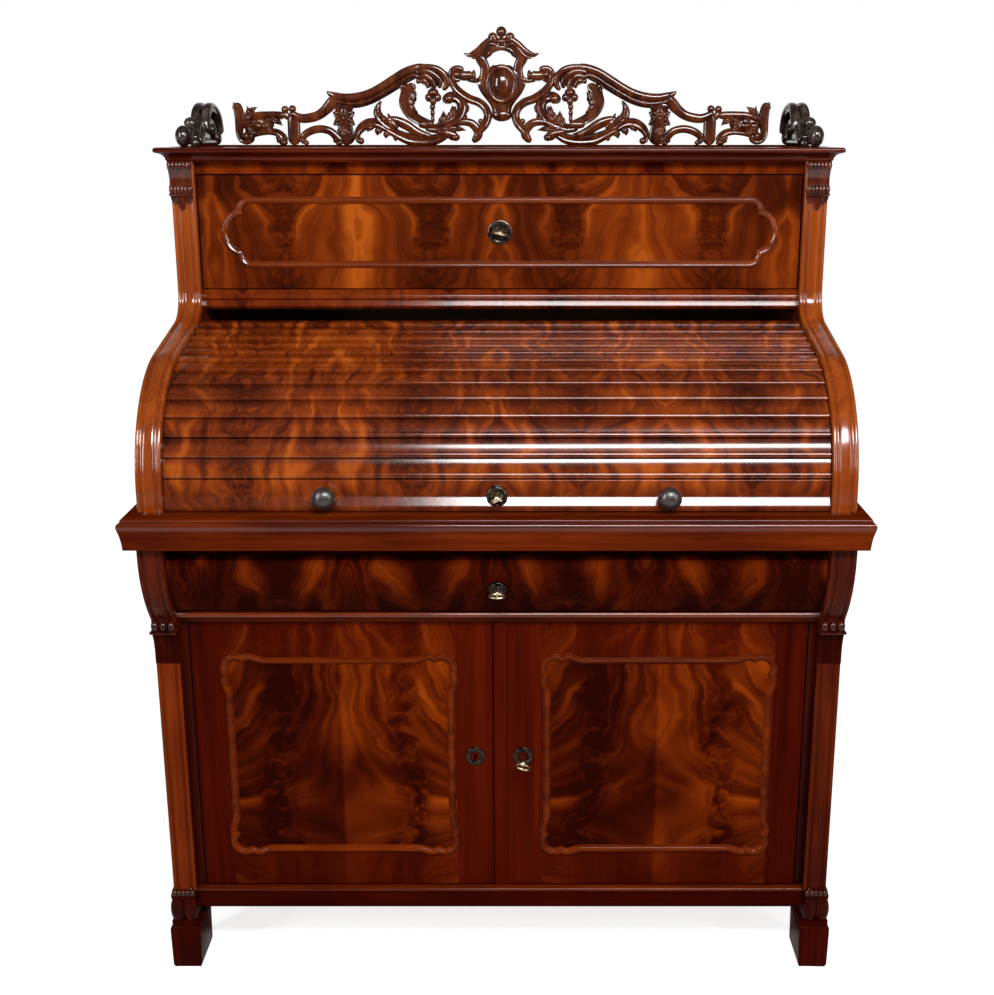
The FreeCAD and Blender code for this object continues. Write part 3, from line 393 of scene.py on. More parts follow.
def consoles():
    """Brackets beside the lower drawer: reeds on a curve that turns under, lobes, and a neck below, dark
    partly as painted shade under the roll.
    """
    front, back, low, high = sides("consoles")
    post_front = reach("pilasters", 1)[0]
    roll = front + CONSOLE_UNDERCUT
    skin = post_front + 0.3
    straight = 12
    curve_top = high - straight
    curve_bottom = low + straight
    t = np.linspace(0, 1, 26)
    heights = np.concatenate([[high], curve_top + (curve_bottom - curve_top) * t, [low]])
    places = front + CONSOLE_UNDERCUT * np.concatenate([[0], t**2.1, [1]])
    reeded = Shells()
    reeded.add_tube(level_slices(heights, places, reeds(2.6), back))
    reeded.add_tube(level_slices([low, low - 9], [roll, roll], reeds(2.6), skin))
    middle = POST_OUTER - REED_WIDTH / 2
    lobes = Shells()
    lobe_step = 12.6
    for offset in (-lobe_step, 0, lobe_step):
        egg(lobes, (middle + offset, roll + 1, low + 2), (6.8, 9.0, 9.6))
    lip_back = roll + 22
    nose = arc((roll - 1, low - 8.4), (6.5, 2.2), 90, 270, 8)
    lip = outline(nose, (lip_back, low - 10.6), (lip_back, low - 6.2))
    along_x(lobes, lip, POST_OUTER - REED_WIDTH - 1, POST_OUTER + 1.5)
    neck_top = low - 10
    neck_drop = 53
    step = np.linspace(0, 1, 12)
    hollow = post_front - 1.2 - (post_front - roll) * (1 - step) ** 3.5
    neck = Shells()
    neck.add_tube(level_slices(neck_top - neck_drop * step, hollow, reeds(1.6), skin))
    return pairs(reeded_consoles=reeded, console_lobes=lobes, console_necks=neck)


def low_drawer_front():
    """Front of the lower drawer: upright at the top, then curving under more and more."""
    front, back, low, high = sides("low_drawer_front")
    t = np.linspace(0, 1, 40)
    height = high - 1 - (high - low - 1) * t
    curve = np.stack([front + DRAWER_UNDERCUT * t**DRAWER_POWER, height], -1)
    section = outline((back, high), (front + 1, high), curve, (back, low))
    return drawn_out("curved_low_drawer_front", "low_drawer_front", section, 50)


def pilasters():
    """Front posts: a reeded face and a square stile beside the door."""
    front, back, low, high = sides("pilasters")
    stile = reach("door_right", 0)[1] + 2
    door_front = reach("door_right", 1)[0]
    strip = reeds()
    face = np.stack([POST_OUTER - strip[:, 0], front - strip[:, 1]], -1)
    inner = POST_OUTER - REED_WIDTH
    section = outline(face, (inner, door_front), (stile, door_front), (stile, back), (POST_OUTER, back))
    one = Shells()
    along_z(one, section, low, high)
    return on_both_sides(one).build("reeded_pilasters")


# Feet and caps
def hanging_leaf(shells, spot, drop, width):
    """A pointed leaf on a face: it narrows to a point as it drops, and its middle stands forward."""
    t = np.linspace(0, 1, 14)[:, None]
    turn = full_turn(16)[None]
    half = width / 2 * np.sqrt(1 - 0.98 * t**1.6)
    x = spot[0] + half * np.cos(turn)
    y = spot[1] - (2.6 - 1.6 * t) * np.sin(turn)
    shells.add_tube(np.stack([x, y, spot[2] - drop * t + 0 * turn], -1))


def rounded_ring(x_span, y_span, corner, grow, count=7):
    """A level rounded oblong: four quarter arcs at the corners, grown outwards by a distance."""
    (x0, x1), (y0, y1) = x_span, y_span
    radius = corner + grow
    parts = []
    for x, y, start in ((x1, y1, 0), (x0, y1, 90), (x0, y0, 180), (x1, y0, 270)):
        inner = (x - math.copysign(corner, x - (x0 + x1) / 2), y - math.copysign(corner, y - (y0 + y1) / 2))
        parts.append(arc(inner, (radius, radius), start, start + 90, count))
    return np.concatenate(parts)


def stacked(shells, levels, x_span, y_span, corner):
    """Rounded oblongs stacked at given heights and growths."""
    rows = []
    for height, grow in levels:
        rows.append(np.insert(rounded_ring(x_span, y_span, corner, grow), 2, height, axis=1))
    shells.add_tube(np.stack(rows))


def front_foot(plain, bulb, beads):
    """Square block and neck, and on them a bulb of upright lobes and a beaded collar."""
    front = reach("feet", 1)[0]
    back = reach("pilasters", 1)[1]
    block_x = (POST_OUTER - 41, POST_OUTER + 6)
    bulb_x = (POST_OUTER - 36, POST_OUTER + 5)
    core_x = (bulb_x[0] + 4, bulb_x[1] - 4)
    block = [(0, -4.5), (1, -2.8), (3, -1.2), (7, 0), (66, 1), (72, 0.6), (75, -1), (77, -3)]
    stacked(plain, block, block_x, (front - 6, back), 3)
    stacked(plain, [(75, 0), (82, 0), (122, 0), (135, 0)], core_x, (front + 11, back), 3)
    stacked(plain, [(76, 1), (77.5, 5), (80, 5), (82, 2)], core_x, (front + 3, back), 4)
    stacked(plain, [(119, 2), (121.5, 4), (127, 4), (135, 2)], core_x, (front + 4, back), 4)
    middle = sum(bulb_x) / 2
    bulb_height = 101.5
    for offset in (-9.5, 9.5):
        egg(bulb, (middle + offset, front + 9, bulb_height), (13, 13, 26), 24, 16)
    for step in (0.30, 0.62, 0.92):
        y = front + 10 + (back - front - 10) * step
        for edge in bulb_x:
            inward = math.copysign(7, middle - edge)
            egg(bulb, (edge + inward, y, bulb_height), (9, 13.5, 26), 24, 16)
    bead_height = 133
    for offset in np.linspace(-15.5, 12.5, 5):
        egg(beads, (middle + offset, front + 3, bead_height), (4.6, 5.4, 6))
    for step in np.linspace(0.08, 0.94, 9):
        y = front + 4 + (back - front - 4) * step
        for edge, inward in ((bulb_x[1], -8.5), (bulb_x[0], 8.5)):
            egg(beads, (edge + inward, y, bead_height), (4.4, 4.6, 6))


def feet():
    """The plain blocks of all four feet, and the bulbs and beads of the front ones."""
    plain, bulb, beads = Shells(), Shells(), Shells()
    front_foot(plain, bulb, beads)
    rear_top = reach("plinth_rail", 2)[0]
    levels = [(0, -5), (1.5, -2.5), (4, -0.8), (7, 0), (rear_top, 0)]
    stacked(plain, levels, (POST_OUTER - REED_WIDTH, POST_OUTER), (BACK - 60, BACK), 2)
    return pairs(feet_blocks=plain, feet_bulbs=bulb, feet_beads=beads)


def pilaster_caps():
    """Small corbels under the cornice: a hollow face between two rows of beads, a lip and hanging leaves."""
    front, back = reach("pilaster_caps", 1)
    high = reach("pilaster_caps", 2)[1]
    upper_beads = high - 6
    lower_beads = high - 44
    foot = high - 54
    x_span = (POST_OUTER - REED_WIDTH + 3, POST_OUTER)
    middle = sum(x_span) / 2
    face = np.array([(-6, 0), (-6, -10), (-1, -18), (2, -27), (1.5, -36), (-0.5, -44), (2, -54)])
    one = Shells()
    along_x(one, outline((back + 6, high), face + (front, high), (back + 6, foot)), *x_span)
    for offset in np.linspace(-14.4, 14.4, 6):
        egg(one, (middle + offset, front - 6, upper_beads), (3.1, 3.6, 6.4))
        egg(one, (middle + offset, front - 0.5, lower_beads), (3.1, 3.8, 7.0))
    for edge in x_span:
        for step in (0, 6, 12):
            egg(one, (edge, front - 2 + step, upper_beads), (2.0, 3.2, 6.4))
            egg(one, (edge, front + 3 + step, lower_beads), (2.0, 3.2, 7.0))
    nose = arc((front + 1, foot + 2), (4.6, 2.0), 90, 270, 8)
    lip = outline(nose, (back + 4, foot), (back + 4, foot + 4))
    along_x(one, lip, x_span[0] - 0.5, x_span[1] + 1)
    for offset, drop, width in ((0, 24, 18), (-12, 13, 13), (12, 13, 13)):
        hanging_leaf(one, (middle + offset, back - 1, foot + 1), drop, width)
    return on_both_sides(one).build("carved_caps")


# Lid
def lid_curve():
    """Radius of the lid's face, and the angles where the slats begin and where the slope leaves the round."""
    radius = LID_AXIS[1] - reach("lid_rail", 1)[0]
    rise = reach("lid_rail", 2)[1] - LID_AXIS[2]
    return radius, math.asin(rise / (radius - SLAT_FOOT)), math.radians(90 - LID_SLOPE)


def lid_face(distance):
    """(y, z) on the lid's face at a distance above its rail: round the axis, then straight up the slope."""
    axis_y, axis_z = LID_AXIS[1:]
    radius, start, turn = lid_curve()
    angle = np.minimum(start + distance / radius, turn)
    beyond = np.maximum(distance - (turn - start) * radius, 0)
    y = axis_y - radius * np.cos(angle) + beyond * np.sin(angle)
    z = axis_z + radius * np.sin(angle) + beyond * np.cos(angle)
    return np.stack([y, z], -1)


def slat_pitch():
    """Distance from slat to slat, so that they fill the lid's face from its rail to its back edge."""
    probe = np.linspace(100, 600, 4001)
    length = probe[np.argmin(np.abs(lid_face(probe)[:, 0] - LID_BACK))]
    return length / SLAT_COUNT


def lid_slats():
    """Strips along the lid's curve: a bead on the lower edge, a flat, and a curve back to the upper edge."""
    shells = Shells()
    pitch = slat_pitch()
    half = reach("lid_rail", 0)[1]
    for index in range(SLAT_COUNT):
        ends = lid_face(np.array([index * pitch + SLAT_GAP / 2, (index + 1) * pitch - SLAT_GAP / 2]))
        span = ends[1] - ends[0]
        length = np.linalg.norm(span)
        up = span / length
        out = np.array([-up[1], up[0]])
        flat_end = 0.45 * length
        curve = np.linspace(flat_end, length - 0.8, 11)
        drop = (curve - flat_end) ** 2 / (2 * SLAT_CURVE) + SLAT_BEAD
        section = outline(
            (0.4, -SLAT_DEPTH),
            arc((4.8, -1.6), (4.4, 2.2), 180, 10, 14),
            (9.7, -SLAT_BEAD),
            np.stack([curve, -drop], -1),
            (length - 0.2, -drop[-1] - 1.0),
            (length - 0.2, -SLAT_DEPTH),
        )
        along_x(shells, ends[0] + section[:, :1] * up + section[:, 1:] * out, -half, half)
    return shells.build("lid_strips", 30)


def lid_rail():
    """Wide bottom rail: a flat face above, a band that slopes forward, and a lip below."""
    front, back, low, high = sides("lid_rail")
    depth, height = back - front, high - low
    section = outline(
        (depth, 0), (-3.6, 0), (-4.6, 1),
        arc((-2.0, 4.6), (3.0, 3.0), 190, 152, 4),
        np.linspace((-4.3, 7.2), (RAIL_SETBACK - 0.4, 21.0), 9),
        (RAIL_SETBACK, 22.5),
        arc((RAIL_SETBACK + 1, height - 1), (1, 1), 180, 90, 4),
        (depth, height),
    )
    return drawn_out("lid_bottom_rail", "lid_rail", section + (front, low), 30)


def lid_knobs():
    """Turned knobs: foot ring, short neck and a ball flattened a little."""
    low, high = reach("lid_knobs", 2)
    spread = reach("lid_knobs", 0)[1] - (high - low) / 2
    face = reach("lid_rail", 1)[0]
    profile = outline(
        (0, -7), (9.5, -7), (10, 3), (9, 4.2), (6, 5.2), (5.6, 7),
        arc((0, 18.5), (17.5, 13.5), -62, 90, 26),
    )
    shells = Shells()
    for side in (-1, 1):
        turned(shells, (side * spread, face, (low + high) / 2), profile, 44)
    return shells.build("turned_knobs", 30)


# Mouldings of the case
def banded(name, node, section):
    """A section of (inwards, height) carried round the front and both ends of a node, mitred at corners."""
    front, back = reach(node, 1)
    half = reach(node, 0)[1]
    path = np.array([(-half, back), (-half, front), (half, front), (half, back)])
    shells = Shells()
    shells.add_tube(np.concatenate(swept(path, section[:, 0], section[:, 1]), -1))
    return shells.build(name, 32)


def table_edge():
    """Edge of the writing table: a thin lip, a round nose and a long hollow below."""
    low, high = reach("table_edge", 2)
    hollow = [(0, -9.5), (0.2, -13), (1.2, -17), (2.6, -22), (4.2, -30), (5.2, -38), (6, low - high)]
    section = outline(
        (30, 0),
        arc((6.8, -1.8), (1.8, 1.8), 90, 180, 6),
        (5.2, -3.2), (6.0, -4.0),
        arc((8, -9.5), (8, 5.7), 106, 180, 12),
        smooth(hollow, 24)[1:],
        (30, low - high),
    )
    return banded("moulded_table_edge", "table_edge", section + (0, high))


def cornice():
    """Thin rounded lip over a cove."""
    low, high = reach("cornice", 2)
    section = outline(
        (CORNICE_OVERHANG, 0),
        arc((4.2, -4.4), (4.2, 4.4), 90, 235, 14),
        (4.4, -8.6),
        arc((4.0, -20.6), (11.8, 11.6), 86, 4, 12),
        (17, -20.8), (17, low - high), (CORNICE_OVERHANG, low - high),
    )
    return banded("moulded_cornice", "cornice", section + (0, high))


def mid_rail():
    """Rail under the upper drawer: flat, then two ridges with a hollow between, then curved under."""
    front, back, low, high = sides("mid_rail")
    depth = back - front
    section = outline(
        (depth, 0), (3, 0), (3, -9), (1.4, -13.2),
        arc((1.8, -14.6), (1.4, 1.4), 150, 270, 6),
        (3.6, -17.8), (3.4, -19), (0.7, -25.4),
        arc((1.8, -27.0), (1.6, 1.6), 150, 230, 5),
        arc((12, -26), (11.0, 8.6), 205, 262, 7),
        (depth, low - high),
    )
    return drawn_out("reeded_mid_rail", "mid_rail", section + (front, high))


def bead_rail():
    """Rail over the doors: a half-round bead and a hollow below it."""
    front, back, low, high = sides("bead_rail")
    depth, height = back - front, high - low
    section = outline(
        (depth, 0), (20, 0), (20, 6),
        arc((10, 6), (10, 4.6), 0, 80, 6),
        arc((8, 16), (5.0, 5.0), 258, 100, 16),
        (11, height - 3.4), (11, height), (depth, height),
    )
    return drawn_out("beaded_rail", "bead_rail", section + (front, low))


def plinth_bead():
    """Small half-round bead along the upper front edge of the plinth."""
    front = reach("plinth_rail", 1)[0]
    high = reach("plinth_rail", 2)[1]
    section = outline(arc((2.4, -2.2), (3.4, 3.0), 270, 90, 12), (11, 0.6), (11, -5.2))
    return drawn_out("plinth_bead", "plinth_rail", section + (front, high))


def panel_section(width, fall):
    """Applied moulding of (inwards, height): a thin step, a round bead, and a slope down to the panel."""
    height = 6.0
    return outline(
        (-0.5 * width, -0.6),
        (-0.5 * width, 0.30 * height),
        arc((-0.42 * width, 0.32 * height), (0.08 * width, 0.16 * height), 180, 20, 5),
        arc((-0.13 * width, 0.40 * height), (0.21 * width, 0.60 * height), 180, 62, 9),
        (0.10 * width, 0.88 * height - 0.05 * fall * height),
        (0.26 * width, 0.86 * height - 0.45 * fall * height),
        (0.44 * width, 0.84 * height - fall * height),
        (0.5 * width, -0.6),
    )


def applied(name, path, section, face):
    """A section carried round a closed (x, z) path on a face and standing towards the viewer."""
    flat, out = swept(path, section[:, 0], face - section[:, 1], True)
    shells = Shells()
    shells.add_tube(np.concatenate([flat[..., :1], out, flat[..., 1:]], -1), True)
    return shells.build(name, 35)


def drawer_moulding():
    """Long panel with round shoulders and a round end between two cusps at each side."""
    right = reach("top_drawer_moulding", 0)[1]
    low, high = reach("top_drawer_moulding", 2)
    width = 11.0
    middle = (low + high) / 2
    half_height = (high - low) / 2 - width / 2
    end_radius = 39 - width / 2
    end = (right - width / 2 - end_radius, middle)
    shoulder_radius = 20 - width / 4
    shoulder = (end[0] - 9, middle + half_height - shoulder_radius)
    cusp = circle_meeting(shoulder, shoulder_radius, end, end_radius)
    upper = arc(shoulder, (shoulder_radius,) * 2, 90, bearing(shoulder, cusp), 14)
    round_end = arc(end, (end_radius,) * 2, bearing(end, cusp), 0, 16)
    quarter = np.concatenate([upper, round_end[1:]])
    flip = np.concatenate([quarter, (quarter * (1, -1) + (0, 2 * middle))[-2::-1]])
    path = np.concatenate([flip, flip[::-1] * (-1, 1)])
    face = reach("top_drawer_front", 1)[0]
    return applied("drawer_panel_moulding", path[::-1], panel_section(width, 0.42), face)


def door_moulding(side):
    """Door panel: straight runs that rise in a small wave before a cusp, and a round ear at each corner."""
    node = "door_%s_moulding" % side
    left, right = reach(node, 0)
    low, high = reach(node, 2)
    width = 12.0
    ear = 19.0
    wave = smooth([(72, 7), (60, 6.6), (51, 4), (43, 1.2), (36, 1.4), (30.5, 4.2)], 18)
    centre = (ear + 1, ear + 1)
    first = bearing(centre, (30.5, 4.2))
    second = bearing(centre, (4.2, 30.5))
    corner = arc(centre, (ear, ear), first, second - 360 if second > first else second, 18)
    run = np.concatenate([wave, corner[1:-1], wave[::-1, ::-1]]) + width / 2
    path = np.concatenate([
        (left, high) + run * (1, -1),
        ((left, low) + run)[::-1],
        (right, low) + run * (-1, 1),
        ((right, high) - run)[::-1],
    ])
    face = reach("door_" + side, 1)[0]
    return applied("door_%s_panel_moulding" % side, path, panel_section(width, 0.72), face)


# Carving
def back_board(a, b, height):
    """Places on the back gallery: out from the middle, up from the top board, and towards the viewer."""
    return np.stack([a, GALLERY_MIDDLE - height, CORNICE_TOP + b], -1)


def end_board(a, b, height):
    """Places on the right end gallery: along the depth, up from the top board, and towards the middle."""
    return np.stack([END_MIDDLE - height, a, CORNICE_TOP + b], -1)


def carved_stroke(shells, board, points, lift=0.0, relief=7.0, ridges=0, back=6.0, around=22):
    """A carved stroke with round ends.

    Points give a place and a width. An oval section follows a smooth curve through them; its front is fuller
    than its back, never higher than the relief, and may be cut into ridges that run along it.
    """
    rows = 7 * len(points) + 6
    curve = smooth(points, 4 * rows)
    steps = np.linalg.norm(np.diff(curve[:, :2], axis=0), axis=1)
    travelled = np.concatenate([[0], np.cumsum(steps)])
    length = travelled[-1]
    even = np.linspace(0, 1, rows)
    place = length * (0.35 * (0.5 - 0.5 * np.cos(math.pi * even)) + 0.65 * even)
    path = np.stack([np.interp(place, travelled, curve[:, part]) for part in range(3)], -1)
    width = np.maximum(path[:, 2], 0.6)
    to_end = np.minimum(place, length - place) / np.maximum(width / 2, 0.1)
    rounding = np.sqrt(np.clip(1 - (1 - np.clip(to_end, 0, 1)) ** 2, 0.004, 1))
    half = (width / 2 * rounding)[:, None]
    left = sideways(path[:, :2])[:, None]
    turn = full_turn(around)
    across = np.sign(np.cos(turn)) * np.abs(np.cos(turn)) ** 0.85
    rise = np.sin(turn)
    full = np.sign(rise) * np.abs(rise) ** 0.75
    if ridges:
        comb = 0.5 - 0.5 * np.cos(2 * math.pi * ridges * (across + 1) / 2)
        full = np.where(rise > 0, full * (0.66 + 0.34 * comb), full)
    front_height = np.minimum(half * 1.15, relief)
    back_height = np.minimum(half, back)
    height = np.where(rise[None] > 0, front_height, back_height) * full[None] + lift
    flat = path[:, None, :2] + left * (half * across[None])[..., None]
    shells.add_tube(board(flat[..., 0], flat[..., 1], height))


def carved_leaf(shells, board, base, tip, width, lobes=3, bend=0.12, lift=1.5, relief=5.0):
    """A leaf from its base to its tip.

    Half-width swells and narrows along a bent midrib with notched lobes, and the face has a sunk midrib and
    raised ribs that run to the lobes.
    """
    base = np.asarray(base, float)
    tip = np.asarray(tip, float)
    t = np.linspace(0.0, 1.0, 26)
    along = tip - base
    normal = np.array([-along[1], along[0]])
    bow = bend * np.sin(math.pi * t) - 0.25 * bend * np.sin(2 * math.pi * t)
    rib = base + along * t[:, None] + normal * bow[:, None]
    left = sideways(rib)[:, None]
    notch = 0.78 + 0.22 * np.abs(np.sin(math.pi * lobes * t + 0.6))
    half = (0.5 * width * np.sin(math.pi * np.clip(t, 0.02, 0.985) ** 0.75) ** 0.7 * notch)[:, None]
    v = np.linspace(-1, 1, 15)
    ribs = np.cos(2 * math.pi * (lobes * t[:, None] - 0.9 * np.abs(v)[None]))
    dome = (1 - 0.85 * v**2)[None] * (0.35 + 0.65 * np.sin(math.pi * np.clip(t, 0.03, 0.97)) ** 0.5)[:, None]
    face = relief * (dome * (1 + 0.16 * ribs) - 0.34 * np.exp(-((v / 0.16) ** 2))[None] * dome) + lift
    under = np.full_like(face, lift - 3.0)
    across = np.concatenate([v, v[::-1]])
    height = np.concatenate([face, under], 1)
    flat = rib[:, None] + left * (half * across[None])[..., None]
    shells.add_tube(board(flat[..., 0], flat[..., 1], height))


def carved_boss(shells, board, spot, radii, lift=0.0):
    """A round or oval boss: two radii in the board and one out of it."""
    points = np.array([*spot, lift]) + ball(22, 14) * radii
    shells.add_ball(board(*np.moveaxis(points, -1, 0)))


def carved_rosette(shells, board, spot, radius, petals=6):
    """A flower: petals round a boss, and smaller petals between them above."""
    for ring, share, lift, turn in ((radius, 0.62, 0.0, 0.0), (radius * 0.66, 0.6, 3.0, 0.5)):
        for petal in range(petals):
            angle = 2 * math.pi * (petal + turn) / petals + math.pi / 2
            out = ring * np.array([math.cos(angle), math.sin(angle)])
            carved_leaf(shells, board, spot + 0.12 * out, spot + out, ring * 1.25 * share, 1, 0.0, lift, 5.5)
    carved_boss(shells, board, spot, (radius * 0.2, radius * 0.2, 4.0), 6.0)


def gallery_wing():
    """Right wing of the back gallery: end volute, arches, rosette, winged moulding and leaf scrolls."""
    wing = Shells()

    def stroke(points, full=FULLNESS, **how):
        carved_stroke(wing, back_board, np.asarray(points) * (1, 1, full), **how)

    def leaf(base, tip, width, lobes=3, bend=0.12, lift=1.5):
        carved_leaf(wing, back_board, base, tip, FULLNESS * width, lobes, bend, lift)

    def boss(a, b, radius, tall=None, out=None, lift=2.0):
        carved_boss(wing, back_board, (a, b), (radius, tall or radius, out or radius), lift)

    # End volute and its leaves
    stroke([(462, 72, 9), (460, 60, 13), (458, 46, 14), (459, 32, 12), (460, 19, 10), (456, 9, 8.5),
            (447, 6, 8), (439, 10, 7.5), (438, 18, 6.5), (444, 23, 5.5), (450, 19, 4.5)], ridges=2)
    boss(448, 15, 7, out=9)
    leaf((464, 58), (468, 72), 8, 1, 0.1, 3)
    leaf((450, 36), (444, 66), 9, 2, 0.1, 2)
    leaf((446, 38), (427, 64), 11, 2, -0.12, 2)
    stroke([(452, 36, 24), (432, 34, 26), (412, 34, 18), (398, 36, 8)], relief=4)
    leaf((449, 36), (404, 22), 17, 3, -0.16, 4)
    leaf((449, 33), (428, 20), 10, 1, 0.1, 5)
    stroke([(448, 42, 8), (430, 49, 10), (410, 50, 11), (392, 50, 11), (378, 50, 9)], lift=1.5)
    leaf((415, 46), (384, 33), 11, 3, -0.1, 3)
    stroke([(440, 16, 7), (424, 21, 8.5), (408, 23, 9), (394, 21, 10), (384, 14, 10),
            (381, 4, 11)], ridges=2)
    leaf((394, 18), (378, 1), 11, 3, 0.1, 2.5)
    boss(383, 4.5, 8, 4.5)
    # Post with two balls
    stroke([(364, 52, 17), (364, 40, 17), (364, 20, 17), (364, 0, 17)], relief=6)
    stroke([(378, 58, 7), (376, 50, 8.5), (371, 44, 8.5)])
    boss(378, 60, 6.6)
    boss(365, 61, 6.6)
    stroke([(370, 56, 8.5), (361, 49, 11), (349, 45, 12), (335, 46, 12.5), (321, 50, 12.5), (309, 58, 13.5),
            (298, 69, 15.5), (290, 80, 15)])
    leaf((356, 15), (339, 5), 10, 2, 0.1, 2)
    boss(343, 4, 5, 4)
    stroke([(353, 10, 8.5), (342, 20, 10), (328, 26, 10.5), (314, 27, 10.5), (300, 23, 10.5),
            (289, 13, 11.5), (282, 4, 13)])
    leaf((292, 17), (281, 1), 12, 3, 0.1, 2.5)
    boss(284, 4, 5, 4)
    # Rosette on its foot
    stroke([(276, 50, 19), (274, 30, 20), (272, 12, 22), (271, 0, 24)], relief=4)
    carved_rosette(wing, back_board, (276, 45), 22)
    leaf((276, 30), (279, 14), 18, 3, 0.0, 3)
    stroke([(290, 66, 16), (280, 62, 20), (268, 66, 18), (262, 72, 12)], relief=4)
    # Winged moulding: body, broad upper strand, thin ridge below
    stroke([(304, 89, 3.5), (291, 81, 13.5), (274, 75, 20), (253, 74, 22), (230, 80, 22), (208, 91, 22),
            (187, 103, 22), (168, 114, 21), (148, 123, 20.5), (131, 126, 20)], 1.05, relief=3.5)
    stroke([(305, 90, 3), (291, 84, 10), (274, 80, 13), (253, 81, 13.5), (230, 87, 13.5), (208, 98, 13.5),
            (187, 111, 13.5), (168, 122, 13.5), (148, 129, 13), (131, 131, 11)], 1.1, relief=9)
    stroke([(295, 76, 4), (274, 71, 5), (253, 70, 5), (230, 76, 5), (208, 87, 5), (187, 99, 5),
            (168, 111, 5), (154, 117, 5), (143, 114, 5), (140, 108, 5)], 1.1, lift=4)
    boss(144, 107, 4.5, lift=5)
    for points in (
        [(152, 128, 8), (130, 131, 9), (110, 127, 10), (98, 116, 10), (95, 102, 9.5), (102, 92, 6)],
        [(150, 121, 8), (131, 124, 9), (116, 118, 9.5), (107, 107, 9), (108, 95, 6)],
        [(146, 113, 8), (132, 116, 9), (122, 109, 9), (117, 98, 7), (120, 92, 5)],
        [(142, 106, 7), (134, 108, 8), (129, 101, 7), (128, 95, 5)],
    ):
        stroke(points, 1.15, lift=2.5)
    stroke([(150, 118, 22), (130, 116, 30), (112, 108, 28), (106, 100, 16)], 1.05, relief=4)
    # Crescent and tassel under the wing
    stroke([(150, 102, 13), (164, 90, 16), (169, 72, 18), (162, 56, 17), (149, 45, 15), (134, 39, 12),
            (121, 37, 7)], 1.15, ridges=3)
    leaf((152, 92), (146, 55), 13, 4, 0.25, 3)
    leaf((166, 92), (178, 97), 16, 1, 0.1, 0.5)
    stroke([(120, 103, 6), (120, 92, 6), (119, 84, 7)])
    boss(119, 88, 10, 8, lift=3)
    boss(127, 80, 6.5, 7.5, lift=4)
    boss(111, 80, 6.5, 7.5, lift=4)
    boss(119, 74, 6, 8, lift=5)
    for level, tall, wide in ((64, 6, 5), (54, 6.5, 4.2), (44, 7.5, 3.6)):
        boss(120.5, level, wide, tall, 5)
    # Leaf scroll that runs along the base
    stroke([(246, 5, 7), (252, 9, 7.5), (253, 19, 9.5), (246, 29, 12), (234, 36, 13.5), (220, 37, 13),
            (206, 31, 12), (192, 23, 12), (178, 16, 13.5), (162, 10, 15.5), (145, 8, 15.5), (127, 8, 14.5),
            (112, 11, 13.5), (98, 17, 10), (87, 22, 5)], ridges=2)
    boss(247, 7, 6, lift=3)
    stroke([(202, 43, 5), (190, 43, 10), (176, 38, 13), (164, 32, 13), (152, 24, 12), (138, 18, 10),
            (122, 14, 7)], lift=1.5)
    stroke([(192, 27, 12), (206, 38, 13), (216, 51, 12), (216, 63, 8.5), (210, 75, 2.5)], ridges=2, lift=1)
    leaf((196, 30), (212, 73), 13, 4, -0.22, 2.5)
    stroke([(183, 26, 8.5), (192, 39, 8.5), (199, 54, 1.5)], lift=2)
    leaf((224, 36), (235, 22), 11, 2, 0.1)
    leaf((211, 31), (218, 16), 11, 2, 0.1)
    leaf((198, 25), (203, 11), 10, 2, 0.1)
    leaf((182, 19), (186, 6), 9, 2, 0.1)
    # Curled leaf beside the middle
    stroke([(135, 30, 9), (115, 28, 12.5), (98, 33, 14), (82, 40, 15), (72, 52, 15), (68, 65, 15),
            (74, 77, 14), (86, 81, 14.5), (95, 77, 13.5), (95, 69, 8.5)], ridges=2)
    boss(92, 78, 9, lift=2.5)
    leaf((72, 54), (57, 67), 9, 2, 0.1, 1)
    leaf((74, 44), (60, 50), 9, 2, 0.1, 1)
    leaf((98, 34), (86, 67), 13, 4, 0.12, 3)
    leaf((110, 31), (102, 58), 10, 3, 0.1, 3)
    leaf((86, 41), (79, 66), 10, 3, -0.1, 3)
    stroke([(146, 36, 9), (132, 34, 10), (118, 36, 9)], lift=3)
    stroke([(112, 23, 6), (96, 20, 10), (84, 15, 13), (78, 11, 9)], lift=2)
    boss(81, 13, 8, 6.5, lift=3)
    leaf((110, 25), (62, 25), 10, 3, -0.05, 3.5)
    # Foot hook and the large scroll that leans on the middle
    stroke([(95, 30, 7), (79, 37, 8.5), (66, 39, 10), (54, 37, 11), (44, 28, 12), (41, 18, 12), (47, 10, 10),
            (53, 8, 7.5)])
    stroke([(71, 112, 4.5), (77, 109, 6), (85, 112, 7.5), (87, 120, 8.5), (82, 127, 8.5), (73, 128, 8.5),
            (66, 124, 8.5)], lift=2)
    boss(76.5, 118, 7.5, lift=3)
    stroke([(74, 117, 17), (61, 116, 16), (49, 117, 18)], 1.05, relief=8)
    boss(48, 117, 4, 9.5, 9, 0)
    stroke([(87, 122, 7.5), (88, 113, 10), (83, 100, 12), (72, 88, 13), (56, 78, 13), (40, 72, 13),
            (29, 63, 13), (24, 50, 13), (28, 37, 13), (37, 26, 12), (44, 18, 9)], 1.15, ridges=2, lift=1.5)
    boss(36.5, 40, 5, lift=3)
    stroke([(60, 110, 5), (45, 108, 6), (33, 113, 7)])
    stroke([(100, 118, 10), (92, 118, 10)], relief=4)
    return wing


